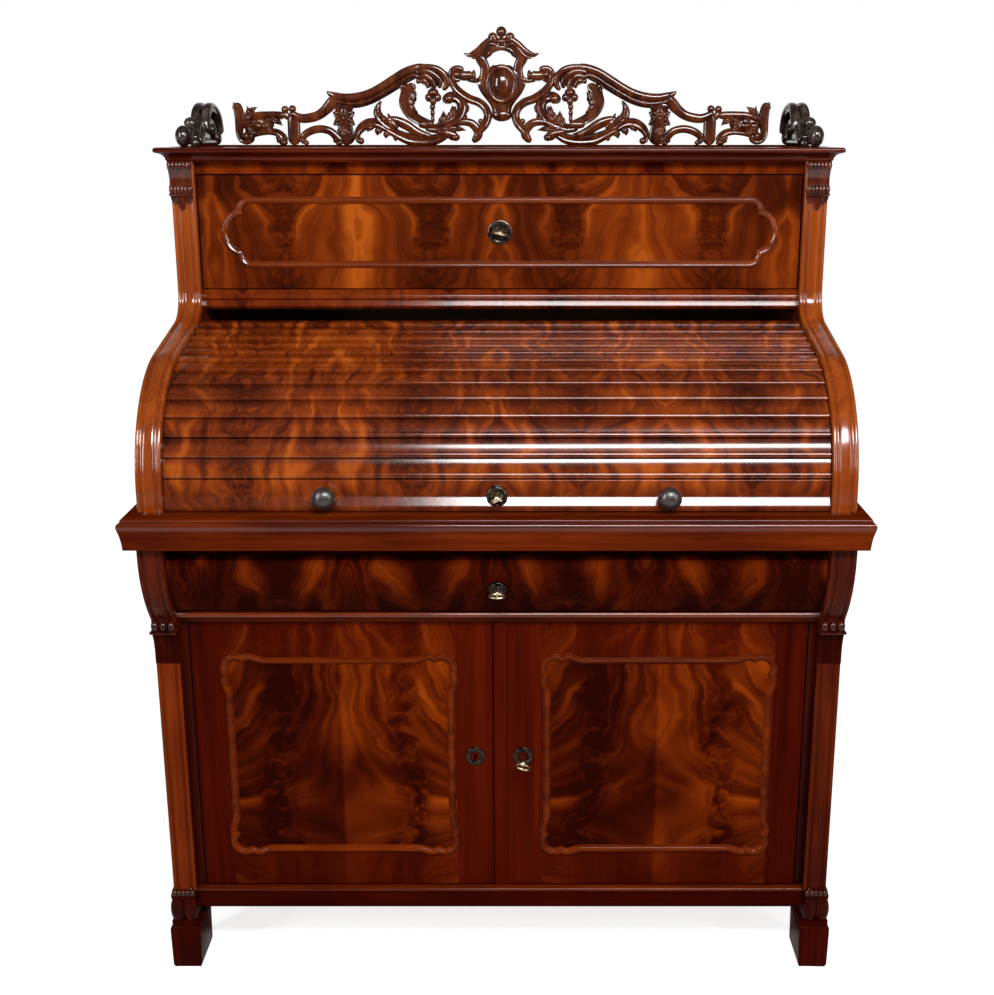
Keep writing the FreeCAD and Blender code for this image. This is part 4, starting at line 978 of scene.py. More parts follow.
def gallery_middle():
    """Middle of the back gallery: a shield with an oval boss in a ring, a window, a gabled roof and a bud."""
    half = Shells()

    def stroke(points, **how):
        carved_stroke(half, back_board, points, **how)

    stroke([(45, 152, 12), (36, 144, 18), (29.5, 132, 17), (29, 120, 17), (33, 109, 16)], relief=5)
    stroke([(4, 174, 10), (16, 176, 12), (29, 167.5, 12.5), (39, 158.5, 12), (49, 152.5, 10), (57, 150.5, 7),
            (65, 153.5, 2)], relief=9, lift=1.5)
    stroke([(8, 167, 5), (21, 168, 6), (32, 157, 6), (42, 148, 6), (52, 145.5, 4)], lift=4)
    stroke([(4, 164, 14), (20, 163, 20), (32, 153, 22), (42, 148, 13)], relief=5)
    carved_boss(half, back_board, (15, 180), (8, 8, 8), 1)
    carved_leaf(half, back_board, (2, 170), (13, 178), 8, 2, 0.1, 5)
    middle = Shells()
    carved_stroke(middle, back_board, [(-23, 148, 7), (-16, 158, 9.5), (0, 163, 10), (16, 158, 9.5),
        (23, 148, 7)], relief=5)
    carved_boss(middle, back_board, (0, 188.5), (9.2, 9.4, 9), 1)
    carved_boss(middle, back_board, (0, 173), (7, 7, 6), 5)
    shield_plate(middle)
    ring = arc((0, 102), (23.6, 28.6), 0, 360, 57)[:-1]
    turn = full_turn(14)
    out = sideways(ring, True)
    flat = ring[:, None] + out[:, None] * (4.8 * np.cos(turn))[None, :, None]
    middle.add_tube(back_board(flat[..., 0], flat[..., 1], 6.5 + 4.4 * np.sin(turn) + 0 * flat[..., 0]), True)
    carved_boss(middle, back_board, (0, 102), (16, 23.5, 9), 5)
    carved_boss(middle, back_board, (0, 51), (18, 11.5, 9), 0)
    carved_rosette(middle, back_board, (0, 57), 7, 5)
    return middle.join(on_both_sides(half))


def shield_plate(shells):
    """Shield: half-width changes with the height, the face swells towards its middle and the back is flat."""
    heights = [44, 52, 60.5, 68, 77.5, 87, 97, 106, 114, 121, 128, 134]
    halves = [14, 17.5, 16, 20, 27.5, 35.5, 40.5, 43.5, 40.5, 36, 28, 10]
    level = np.linspace(heights[0], heights[-1], 60)
    half = np.interp(level, heights, halves)
    half = np.convolve(np.pad(half, 4, "edge"), np.ones(9) / 9, "valid")[:, None]
    v = np.linspace(-1, 1, 21)
    across = np.concatenate([v, v[::-1]])
    face = 1.5 + 5.0 * (1 - v**4)
    height = np.concatenate([face, np.full(21, -6.0)])
    a = half * across[None]
    shells.add_tube(back_board(a, level[:, None] + 0 * a, height[None] + 0 * a))


def gallery_end():
    """Carved end of the gallery on the right: two balls at the front, and an arched scroll that runs back."""
    end = Shells()

    def stroke(points, **how):
        carved_stroke(end, end_board, points, around=26, **how)

    carved_boss(end, end_board, (84, 17), (15, 17, 13), -13)
    turned(end, (END_MIDDLE + 10, 101, CORNICE_TOP + 16), [(0, 0), (12, 0), (13, 2.5), (12, 5), (0, 5)], 30)
    carved_boss(end, end_board, (114, 37), (10, 10, 11), -7)
    stroke([(96, 10, 14), (112, 22, 15), (132, 34, 14), (152, 44, 12)], relief=9, back=12)
    for lift in (-8.2, 8.2):
        stroke([(148, 22, 13), (152, 40, 15), (164, 54, 16), (184, 62, 16), (206, 62, 16), (234, 54, 16),
                (250, 39, 16), (257, 18, 13)], lift=lift, relief=8, back=8)
    stroke([(150, 14, 24), (172, 30, 44), (205, 32, 50), (236, 24, 36), (258, 12, 20)], relief=4, back=4)
    for side in (-1, 1):
        stroke([(110, 8, 13), (132, 18, 14), (156, 32, 13), (180, 40, 12), (202, 38, 11),
                (212, 28, 10)], lift=side * 6, relief=5, back=5)
        carved_boss(end, end_board, (210, 27), (9, 9, 6), side * 7)
        carved_boss(end, end_board, (254, 13), (12, 12, 7), side * 5)
    stroke([(92, 6, 12), (150, 6, 11), (210, 6, 11), (262, 6, 12)], relief=10, back=10)
    carved_leaf(end, end_board, (112, 8), (185, 30), 24, 4, 0.12, 5)
    carved_leaf(end, end_board, (235, 10), (196, 30), 18, 3, -0.12, 5)
    return end


# Fittings
def escutcheon(name, node, rim, sink=0, lift=0, plate=False):
    """Thick ring round the keyhole, from a share of the radius outwards; it may hold a pierced plate."""
    left, right = reach(node, 0)
    front, back, low, high = sides(node)
    back += sink
    hollow = [(KEY_HOLE, 0.0), (KEY_HOLE, 0.3), (rim, 0.3)] if plate else [(rim, 0.0)]
    rounding = arc(((1 + rim) / 2, 0.66), ((1 - rim) / 2, 0.34), 165, 0, 10)
    steps = outline(hollow, (rim, 0.62), rounding, (1.0, 0.0))
    spot = ((left + right) / 2, back, (low + high) / 2)
    shells = Shells()
    turned(shells, spot, steps * ((right - left) / 2, back - (front - lift)), 72, True)
    return shells.build(name)


def low_escutcheon():
    """Dished disc that lies on the undercut face of the lower drawer."""
    left, right = reach("low_drawer_escutcheon", 0)
    middle = sum(reach("low_drawer_escutcheon", 2)) / 2
    drawer_low, drawer_high = reach("low_drawer_front", 2)
    radius = (right - left) / 2 + 3
    share = (drawer_high - middle) / (drawer_high - drawer_low)
    face = reach("low_drawer_front", 1)[0] + DRAWER_UNDERCUT * share**DRAWER_POWER
    profile = outline(
        (0, -4), (radius, -4), (radius, 0.6), arc((radius - 2.2, 1.2), (2.2, 2.0), 0, 150, 9),
        (radius - 5, 0.9), (5.5, 0.7), (4.6, 2.4), (0, 2.4),
    )
    disc = Shells()
    turned(disc, (0, 0, 0), profile, 48)
    slope = math.radians(28)
    x, y, z = disc.points[0].T
    disc.points[0] = np.stack([
        x,
        face + y * math.cos(slope) - z * math.sin(slope),
        middle + y * math.sin(slope) + z * math.cos(slope),
    ], -1)
    return disc.build("low_drawer_dished_escutcheon")


def key(name, node, lean, bow_radius, forward):
    """Key: a shank with a collar, a ring bow turned to a lean in degrees from upright, and a bit."""
    x = sum(reach(node, 0)) / 2
    front, back, low, high = sides(node)
    shank_drop = 10.2
    bow_length = 20.4
    z = high - shank_drop
    bow_front = front + bow_length - forward
    collar = np.array([(2.5, -8), (4.2, -6), (4.2, -3), (2.6, -1), (3.6, 1.5), (2.2, 3), (0, 3.5)])
    shells = Shells()
    turned(shells, (x, 0, z), outline((0, -back), (2.4, -back), collar - (0, bow_front)), 20)
    angle = full_turn(40)[:, None]
    turn = full_turn(12)[None]
    tall = bow_radius + 1.9 * np.cos(turn)
    along = bow_front - bow_radius * 0.82 + 0.82 * tall * np.cos(angle)
    side = tall * np.sin(angle)
    out = 1.7 * np.sin(turn) + 0 * angle
    tilt = math.radians(lean)
    bow_x = x + side * math.sin(tilt) + out * math.cos(tilt)
    bow_z = z + side * math.cos(tilt) - out * math.sin(tilt)
    shells.add_tube(np.stack([bow_x, along, bow_z], -1), True)
    bit = rounded_ring((x - 1.1, x + 1.1), (back - 4.8, back - 0.2), 0.4, 0, 3)
    along_z(shells, bit, low, z)
    return shells.build(name)


# Node trees
class Tree:
    """Nodes of a material or of the world, added and linked in short calls."""

    def __init__(self, owner, shader="Principled BSDF"):
        owner.use_nodes = True
        self.owner = owner
        self.nodes = owner.node_tree.nodes
        self.links = owner.node_tree.links
        self.inputs = self.nodes[shader].inputs

    def feed(self, socket, value):
        """Link a socket to another one, or set its value."""
        if isinstance(value, bpy.types.NodeSocket):
            self.links.new(value, socket)
        else:
            socket.default_value = value

    def add(self, kind, values=None, **settings):
        """A node with settings, and with values or sockets fed to its inputs."""
        node = self.nodes.new(kind)
        for key, value in settings.items():
            setattr(node, key, value)
        for key, value in (values or {}).items():
            self.feed(node.inputs[key], value)
        return node

    def math(self, operation, *values):
        return self.add("ShaderNodeMath", dict(enumerate(values)), operation=operation).outputs[0]

    def sum(self, value, *others):
        """A value with others added to it in turn."""
        for other in others:
            value = self.math("ADD", value, other)
        return value

    def scaled(self, value, factor, offset=0.0):
        """A value times a factor, plus an offset."""
        return self.math("MULTIPLY_ADD", value, factor, offset)

    def vector(self, x, y, z):
        return self.add("ShaderNodeCombineXYZ", {0: x, 1: y, 2: z}).outputs[0]

    def place(self, kind="Object"):
        """Coordinates as three sockets."""
        source = self.add("ShaderNodeTexCoord").outputs[kind]
        return self.add("ShaderNodeSeparateXYZ", {0: source}).outputs

    def stretched(self, x=1.0, y=1.0, z=1.0):
        """Coordinates as one socket, in which a pattern is drawn out where the share is small."""
        return self.vector(*[self.scaled(value, share) for value, share in zip(self.place(), (x, y, z))])

    def noise(self, vector, scale, detail=3.0, rough=0.5, distortion=0.0):
        values = {"Vector": vector, "Scale": scale, "Detail": detail}
        values.update({"Roughness": rough, "Distortion": distortion})
        return self.add("ShaderNodeTexNoise", values).outputs["Fac"]

    def fade(self, value, start, end, low=0.0, high=1.0, kind="SMOOTHSTEP"):
        """A step from low to high as a value goes from start to end."""
        values = {"Value": value, "From Min": start, "From Max": end, "To Min": low, "To Max": high}
        return self.add("ShaderNodeMapRange", values, interpolation_type=kind).outputs["Result"]

    def ramp(self, factor, places, tones):
        """Tones along a scale, each at its place."""
        node = self.add("ShaderNodeValToRGB", {0: factor})
        node.color_ramp.interpolation = "LINEAR"
        marks = node.color_ramp.elements
        while len(marks) < len(tones):
            marks.new(0.5)
        for mark, place, tone in zip(marks, places, tones):
            mark.position = place
            mark.color = (*tone, 1)
        return node.outputs[0]

    def mix(self, factor, first, second):
        return self.add("ShaderNodeMix", {0: factor, 6: first, 7: second}, data_type="RGBA").outputs[2]

    def bump(self, height, strength, distance):
        node = self.add("ShaderNodeBump", {"Strength": strength, "Distance": distance, "Height": height})
        self.feed(self.inputs["Normal"], node.outputs[0])

    def finish(self, colour, roughness, shine=0.5):
        """Surface colour, roughness and how much it shines."""
        for key, value in (("Base Color", colour), ("Roughness", roughness), ("Specular IOR Level", shine)):
            self.feed(self.inputs[key], value)
        return self.owner


def new_material(name):
    return Tree(bpy.data.materials.new(name))


# Mahogany, darkest to lightest: the upper case, the redder lower case, and its plain rails and posts
TONES = (
    (0.022, 0.0028, 0.0006), (0.055, 0.0068, 0.0010), (0.115, 0.0165, 0.0020),
    (0.205, 0.0340, 0.0030), (0.340, 0.0700, 0.0060),
)
RED_TONES = (
    (0.018, 0.0014, 0.0003), (0.050, 0.0042, 0.0005), (0.110, 0.0130, 0.0009),
    (0.190, 0.0265, 0.0015), (0.310, 0.0500, 0.0040),
)
DARK_TONES = (
    (0.012, 0.0007, 0.0003), (0.034, 0.0019, 0.0004), (0.072, 0.0048, 0.0006),
    (0.130, 0.0110, 0.0010), (0.220, 0.0260, 0.0020),
)
POLISH = 0.15
GRAIN_SHARE = 0.045


def flame_figure(tree, x, across, height, leaf, lean, seed, plumes, reach_up):
    """Figure of flame veneer, about 0 for dark to 1 for gold.

    Across runs from a joint to the dark core at a leaf's width. With a the distance from the core and v the
    height, streaks follow a - lean * (1 - a / leaf) * v, so that they fan out of the core and stand upright
    at the joint.
    """
    wander = tree.noise(tree.vector(across, height, seed), 8.0, 2.0)
    stray = tree.noise(tree.vector(x, height, seed + 5.0), 9.0)
    swing = tree.sum(tree.scaled(wander, 0.05), tree.scaled(stray, 0.10, -0.075))
    to_core = tree.sum(tree.math("SUBTRACT", leaf, across), swing)
    fan = tree.scaled(to_core, -lean / leaf, lean)
    streak = tree.math("SUBTRACT", to_core, tree.math("MULTIPLY", fan, height))

    def drawn(stretch, offset, *kind):
        """Noise drawn out along the streaks."""
        return tree.noise(tree.vector(streak, tree.scaled(height, stretch), seed + offset), *kind)

    plume = drawn(reach_up, 0.0, plumes, 1.0, 0.5, 0.5)
    strands = drawn(0.4 * reach_up, 2.0, 3.2 * plumes, 2.0)
    fine = drawn(0.05, 3.0, 200.0, 3.0, 0.6)
    feather = tree.math("FRACT", tree.scaled(plume, 4.0))
    feather = tree.math("MULTIPLY", feather, tree.fade(feather, 1.0, 0.82))
    curl = tree.noise(tree.vector(to_core, height, seed + 7.0), 24.0, 3.0, 0.55, 2.0)
    cloud = tree.noise(tree.vector(x, height, seed + 11.0), 10.0, 2.0)
    figure = tree.sum(
        tree.scaled(plume, 1.2, -0.22),
        tree.scaled(feather, 0.16, -0.07),
        tree.scaled(strands, 0.55, -0.275),
    )
    core = tree.fade(tree.math("ABSOLUTE", to_core), 0.04, 0.0, 0.0, 0.8)
    figure = tree.mix(core, figure, tree.scaled(curl, 1.4, -0.56))
    tree.bump(fine, 0.05, 0.0004)
    return tree.sum(figure, tree.scaled(fine, 0.20, -0.10), tree.scaled(cloud, 0.5, -0.25))


def flame_colour(tree, figure, tones):
    return tree.ramp(figure, (0.06, 0.28, 0.48, 0.68, 0.92), tones)


def flame_mahogany(
    name, leaf, level, lean, seed, tone, wave, shine, plumes, reach_up, tones=TONES, along_lid=False
):
    """Book-matched flame veneer with a joint in the middle; every second joint is lighter by a wave."""
    tree = new_material(name)
    x, y, z = tree.place()
    height = tree.math("SUBTRACT", z, level)
    if along_lid:
        height = tree.sum(height, tree.math("SUBTRACT", y, SIDE_FRONT * MILLIMETRE))
    across = tree.math("PINGPONG", x, leaf)
    figure = flame_figure(tree, x, across, height, leaf, lean, seed, plumes, reach_up)
    light = tree.math("COSINE", tree.scaled(x, math.pi / (2 * leaf)))
    figure = tree.sum(figure, tree.scaled(light, -wave, tone))
    if along_lid:
        # Painted shade in the lid's grooves, and lighter upper slats
        figure = tree.sum(figure, slat_groove_shade(tree, y, z))
    return tree.finish(flame_colour(tree, figure, tones), POLISH, shine)


def slat_groove_shade(tree, y, z):
    """Painted shade on the lid: each slat darkens towards the groove above it, where shade falls; the upper
    slats are lighter.
    """
    axis_y, axis_z = (value * MILLIMETRE for value in LID_AXIS[1:])
    radius, start, turn = lid_curve()
    above = tree.math("SUBTRACT", z, axis_z)
    angle = tree.math("ARCTAN2", above, tree.math("SUBTRACT", axis_y, y))
    round_part = tree.math("SUBTRACT", tree.math("MINIMUM", angle, turn), start)
    back = tree.scaled(tree.math("SUBTRACT", y, axis_y), math.sin(turn))
    beyond = tree.math("MAXIMUM", tree.sum(back, tree.scaled(above, math.cos(turn))), 0.0)
    distance = tree.sum(tree.scaled(round_part, radius * MILLIMETRE), beyond)
    share = tree.math("FRACT", tree.math("DIVIDE", distance, slat_pitch() * MILLIMETRE))
    # Painted shade: darker towards the groove at the upper edge of each slat
    groove = tree.fade(share, 0.55, 0.95, 0.0, -0.19)
    groove = tree.math("MULTIPLY", groove, tree.fade(distance, -0.001, 0.001))
    return tree.sum(groove, tree.fade(distance, 0.08, 0.28, 0.0, 0.11))


def panel_span(axis):
    """Middle of the right door's panel along an axis, and the reach of its veneer from there, in metres."""
    low, high = reach("door_right_moulding", axis)
    middle = (low + high) / 2 * MILLIMETRE
    return middle, (high - 8) * MILLIMETRE - middle


def door_flame_mahogany():
    """Two flame leaves inside each door's moulding, the left one darker, between plain dark stiles, the outer
    ones painted darker as shade.
    """
    tree = new_material("door_flame")
    x, _, z = tree.place()
    panel, edge = panel_span(0)
    middle, level = panel_span(2)
    local = tree.math("SUBTRACT", x, tree.scaled(tree.math("SIGN", x), panel))
    across = tree.math("ABSOLUTE", local)
    height = tree.math("SUBTRACT", z, 0.40)
    soft = 0.004
    figure = flame_figure(tree, x, across, height, leaf=0.10, lean=0.75, seed=13.7, plumes=17.0, reach_up=0.3)
    figure = tree.sum(figure, tree.fade(local, -soft, soft, -0.155, 0.045))
    grain = tree.noise(tree.stretched(z=0.04), 60.0, 3.0, 0.6)
    # Painted shade: the outer stiles are darker than the meeting stiles
    stile = tree.scaled(grain, 0.5, tree.fade(tree.math("ABSOLUTE", x), 0.38, 0.45, 0.20, 0.09))
    from_middle = tree.math("ABSOLUTE", tree.math("SUBTRACT", z, middle))
    rail = tree.fade(from_middle, level, level + soft, 0.0, 0.55)
    plain = tree.math("MAXIMUM", tree.fade(across, edge, edge + soft), rail)
    inside = flame_colour(tree, figure, RED_TONES)
    outside = flame_colour(tree, stile, DARK_TONES)
    return tree.finish(tree.mix(plain, inside, outside), POLISH, 0.01)


def plain_mahogany(name, axis, tone, seed, shine, tones=TONES, dull_below=None, shade_within=None):
    """Straight-grained mahogany: streaks drawn out along one axis, brighter or darker by a tone.

    A moulding polished only on its nose is dull below a height and on the table's upper face. Painted shade
    darkens the posts within a distance from the middle, and the right one is redder and darker than the left.
    """
    tree = new_material(name)
    x, y, z = tree.place()
    spot = tree.stretched(**{axis: GRAIN_SHARE})
    broad = tree.noise(spot, 38.0 + seed, 3.0, 0.55, 0.5)
    fine = tree.noise(spot, 320.0 + seed, 3.0, 0.6)
    cloud = tree.noise(tree.vector(x, y, z), 5.0 + seed, 2.0)
    grain = tree.sum(tree.scaled(broad, 0.55), tree.scaled(fine, 0.22))
    figure = tree.sum(grain, tree.scaled(cloud, 0.25, tone - 0.03))
    if shade_within:
        # Painted shade on the posts' recessed inner side; the right post is also redder and darker than the
        # left
        inner = tree.fade(tree.math("ABSOLUTE", x), shade_within - 0.001, shade_within, -0.24, 0.0)
        figure = tree.sum(figure, inner, tree.fade(x, -0.3, 0.3, 0.0, -0.13))
    colour = tree.ramp(figure, (0.12, 0.34, 0.50, 0.66, 0.86), tones)
    tree.bump(fine, 0.05, 0.0004)
    if dull_below:
        top = WRITING_HEIGHT * MILLIMETRE
        upright = tree.fade(z, top - 0.0012, top - 0.0004, shine, 0.0)
        shine = tree.math("MULTIPLY", upright, tree.fade(z, dull_below - 0.004, dull_below, 0.05, 1.0))
    return tree.finish(colour, POLISH, shine)


def carved_mahogany(name, *tones, hollow=0.0, shine=0.8):
    """Polished carving in three tones of dark wood, with painted shade where the back gallery's relief is
    low.
    """
    tree = new_material(name)
    grain = tree.noise(tree.stretched(z=0.3), 70.0, 3.0, 0.6)
    middle = GALLERY_MIDDLE * MILLIMETRE
    # Painted shade: darker towards the back board where the relief is low, and lighter on the raised front
    figure = tree.sum(grain, tree.fade(tree.place()[1], middle - 0.006, middle, 0.3 * hollow, -hollow))
    tree.bump(grain, 0.10, 0.0006)
    return tree.finish(tree.ramp(figure, (0.32, 0.52, 0.72), tones), POLISH, shine)


def black_knob():
    """Black-stained turned wood with a worn sheen."""
    tree = new_material("knob_wood")
    grain = tree.noise(tree.stretched(y=0.2), 240.0, 3.0, 0.6)
    tree.bump(grain, 0.06, 0.0003)
    tones = ((0.012, 0.008, 0.007), (0.045, 0.032, 0.028))
    return tree.finish(tree.ramp(grain, (0.35, 0.7), tones), 0.34, 1.0)


def plain_wood(name, *tones):
    """Carcass wood in three tones with straight grain along its length."""
    tree = new_material(name)
    grain = tree.noise(tree.stretched(x=0.06), 130.0, 4.0, 0.6, 0.3)
    tree.bump(grain, 0.10, 0.0006)
    return tree.finish(tree.ramp(grain, (0.30, 0.55, 0.75), tones), 0.62, 0.3)


def metal(name, roughness, *tones):
    """Worn metal: two tones in soft patches, with a slightly uneven polish."""
    tree = new_material(name)
    patches = tree.noise(tree.stretched(), 160.0, 4.0, 0.6)
    tree.feed(tree.inputs["Metallic"], 1.0)
    tree.bump(patches, 0.08, 0.0004)
    uneven = tree.fade(patches, 0.3, 0.7, roughness * 0.7, roughness * 1.4)
    return tree.finish(tree.ramp(patches, (0.35, 0.68), tones), uneven)


def canvas():
    """Coarse woven backing cloth."""
    tree = new_material("canvas")
    threads = {"Vector": tree.stretched(), "Scale": 320.0, "Distortion": 0.6}
    warp = tree.add("ShaderNodeTexWave", threads, bands_direction="X")
    weft = tree.add("ShaderNodeTexWave", threads, bands_direction="Z")
    cloth = tree.math("MULTIPLY", warp.outputs["Fac"], weft.outputs["Fac"])
    tree.bump(cloth, 0.4, 0.0006)
    tones = ((0.16, 0.12, 0.075), (0.38, 0.31, 0.21))
    return tree.finish(tree.ramp(cloth, (0.1, 0.8), tones), 0.9, 0.1)


def leather():
    """Worn red-brown desk leather with a fine grain."""
    tree = new_material("leather")
    spot = tree.stretched()
    cells = tree.add("ShaderNodeTexVoronoi", feature="DISTANCE_TO_EDGE")
    for key, value in (("Vector", spot), ("Scale", 700.0)):
        tree.feed(cells.inputs[key], value)
    wear = tree.noise(spot, 14.0, 3.0, 0.6)
    tree.bump(cells.outputs["Distance"], 0.35, 0.0005)
    tones = ((0.05, 0.010, 0.006), (0.13, 0.030, 0.015))
    return tree.finish(tree.ramp(wear, (0.3, 0.7), tones), 0.5)


# Stage
SURROUND = 0.07
FLOOR_GLOW = 0.80
FLOOR_REACH = 80000


def white_to_viewer(tree, depth, start, end):
    """1 for what the viewer sees, and for reflections of what lies behind the desk; otherwise 0."""
    path = tree.add("ShaderNodeLightPath").outputs
    mirrored = tree.math("MAXIMUM", path["Is Glossy Ray"], path["Is Transmission Ray"])
    behind = tree.fade(depth, start, end, kind="LINEAR")
    return tree.math("MAXIMUM", path["Is Camera Ray"], tree.math("MULTIPLY", mirrored, behind))


def add_surround():
    """White surround for the viewer that lights the desk only faintly."""
    world = bpy.data.worlds.new("surround")
    bpy.context.scene.world = world
    tree = Tree(world, "Background")
    seen = white_to_viewer(tree, tree.place("Generated")[1], 0.75, 0.95)
    tree.feed(tree.inputs["Color"], (1, 1, 1, 1))
    tree.feed(tree.inputs["Strength"], tree.scaled(seen, 1 - SURROUND, SURROUND))


def add_floor():
    """Pale floor that the viewer sees fade to white away from the desk."""
    floor = Shells()
    corners = [(x * FLOOR_REACH, y * FLOOR_REACH, 0) for x, y in ((-1, -1), (1, -1), (1, 1), (-1, 1))]
    floor.add(corners, [[0, 1, 2, 3]])
    item = floor.build("floor")
    tree = new_material("pale_floor")
    x, y, _ = tree.place()
    distance = tree.math("SQRT", tree.sum(tree.math("MULTIPLY", x, x), tree.math("MULTIPLY", y, y)))
    seen = white_to_viewer(tree, y, 0.3, 0.5)
    glow = tree.math("MULTIPLY", seen, tree.fade(distance, 0.6, 2.0, FLOOR_GLOW, 1.0))
    tree.feed(tree.inputs["Emission Color"], (1, 1, 1, 1))
    tree.feed(tree.inputs["Emission Strength"], glow)
    item.data.materials.append(tree.finish((0.65, 0.65, 0.65, 1), 0.9, 0.0))


def add_lamp(name, place, target, width, height, power):
    """Soft box that faces a target."""
    lamp = bpy.data.lights.new(name, "AREA")
    lamp.shape = "RECTANGLE"
    lamp.size = width
    lamp.size_y = height
    lamp.energy = power
    item = bpy.data.objects.new(name, lamp)
    item.location = place
    aim = item.location - type(item.location)(target)
    item.rotation_euler = aim.to_track_quat("Z", "Y").to_euler()
    bpy.context.scene.collection.objects.link(item)


bpy.context.scene.view_settings.view_transform = "Standard"
add_camera()
add_surround()
add_floor()

# Soft boxes: place, target, width, height and power
add_lamp("key_strip", (0.5, -2.15, 2.45), (0.2, -0.15, 0.95), 1.5, 0.5, 68)
add_lamp("left_box", (-2.3, -2.2, 1.9), (0, -0.1, 0.95), 0.5, 1.6, 48)
add_lamp("right_box", (2.4, -2.1, 1.9), (0, -0.1, 0.95), 0.5, 1.6, 26)

# Flame veneers: leaf, level, lean, seed, tone, wave, shine, plumes and reach of the plumes
drawer_flame = flame_mahogany("drawer_flame", 0.117, 1.165, 0.6, 1.3, 0.09, 0.12, 0.12, 22.0, 0.12)
lid_flame = flame_mahogany("lid_flame", 0.125, 0.80, 0.35, 5.2, 0.13, 0.04, 0.62, 20.0, 0.45, along_lid=True)
rail_flame = flame_mahogany("rail_flame", 0.085, 1.10, 0.4, 21.7, 0.13, 0.0, 0.35, 24.0, 0.2, RED_TONES)
high_flame = flame_mahogany("high_rail_flame", 0.085, 1.30, 0.4, 25.1, 0.14, 0.0, 0.1, 24.0, 0.2, RED_TONES)
frieze_flame = flame_mahogany("frieze_flame", 0.11, 0.67, 0.8, 9.1, -0.15, 0.06, 0.01, 22.0, 0.3, RED_TONES)
door_flame = door_flame_mahogany()

# Straight-grained woods: axis of the grain, tone, seed, shine and tones
upright = plain_mahogany("upright_mahogany", "z", -0.06, 0.0, 0.25)
lengthwise = plain_mahogany("lengthwise_mahogany", "x", -0.02, 2.0, 0.30)
edge_wood = plain_mahogany("dark_lengthwise_mahogany", "x", -0.05, 2.5, 0.6, RED_TONES, dull_below=0.771)
cornice_wood = plain_mahogany("cornice_mahogany", "x", -0.12, 2.7, 0.25, RED_TONES)
top_wood = plain_mahogany("top_mahogany", "x", -0.04, 2.9, 0.0)
moulding_wood = plain_mahogany("moulding_mahogany", "x", 0.06, 3.5, 0.6)
low_lengthwise = plain_mahogany("low_lengthwise_mahogany", "x", -0.19, 3.0, 0.01, DARK_TONES)
low_upright = plain_mahogany("low_upright_mahogany", "z", 0.03, 4.0, 0.06, RED_TONES)
# A darker copy of the lower uprights' mahogany for the consoles: painted shade for their curve that turns
# under
shaded_console_wood = plain_mahogany("shaded_console_mahogany", "z", -0.09, 4.2, 0.10, RED_TONES)
post_wood = plain_mahogany("post_mahogany", "z", 0.06, 4.4, 0.05, RED_TONES, shade_within=0.4935)
door_bead = plain_mahogany("door_bead_mahogany", "x", 0.02, 4.6, 0.07, RED_TONES)
rail_bead = plain_mahogany("rail_bead_mahogany", "x", 0.0, 4.7, 0.8, RED_TONES, dull_below=0.611)
# Lighter mahogany for the plinth's bead: painted light where its upper edge catches the lamp
lit_plinth_bead = plain_mahogany("lit_plinth_bead_mahogany", "x", 0.0, 4.5, 0.22, RED_TONES)
foot_wood = plain_mahogany("foot_mahogany", "z", -0.17, 5.0, 0.02, DARK_TONES)
bright_upright = plain_mahogany("bright_upright_mahogany", "z", 0.25, 1.0, 0.8)

# Carved and carcass woods and metals: tones from dark to light
# hollow: strength of the painted shade towards the gallery's back board
carved = carved_mahogany(
    "carved_mahogany", (0.016, 0.0028, 0.0012), (0.060, 0.0118, 0.0035), (0.140, 0.0320, 0.0080), hollow=0.26
)
black_carving = carved_mahogany(
    "black_carving", (0.008, 0.005, 0.004), (0.028, 0.017, 0.014), (0.085, 0.060, 0.050)
)
bulb_wood = carved_mahogany(
    "bulb_carving", (0.014, 0.0012, 0.0005), (0.034, 0.0028, 0.0008), (0.060, 0.0060, 0.0015), shine=0.06
)
dark_carving = carved_mahogany(
    "dark_carving", (0.012, 0.0012, 0.0005), (0.038, 0.0040, 0.0010), (0.075, 0.0090, 0.0020), shine=0.45
)
cap_wood = carved_mahogany(
    "cap_mahogany", (0.030, 0.0040, 0.0010), (0.080, 0.0110, 0.0020), (0.150, 0.0250, 0.0040)
)
carcass = plain_wood("carcass_wood", (0.20, 0.105, 0.045), (0.33, 0.185, 0.085), (0.42, 0.26, 0.13))
back_wood = plain_wood(
    "stained_back_wood", (0.024, 0.011, 0.005), (0.045, 0.022, 0.011), (0.065, 0.036, 0.019)
)
dark_brass = metal("dark_brass", 0.17, (0.020, 0.014, 0.011), (0.085, 0.062, 0.050))
ring_brass = metal("ring_brass", 0.2, (0.045, 0.036, 0.028), (0.20, 0.155, 0.12))
iron = metal("lock_iron", 0.45, (0.05, 0.047, 0.044), (0.17, 0.165, 0.16))
key_metal = metal("key_metal", 0.28, (0.45, 0.36, 0.20), (0.80, 0.70, 0.48))
knob_wood = black_knob()
cloth = canvas()
hide = leather()


# Pieces modelled here, in place of plainer solids
def dress_case(item, material, *nodes):
    """Dress a mahogany piece of the case."""
    dress(item, "case", "mahogany", material, *nodes)


dress_case(side_facings(), bright_upright, "side_facings")
brackets, lobes, necks = consoles()
dress_case(brackets, shaded_console_wood, "consoles")
dress_case(lobes, dark_carving)
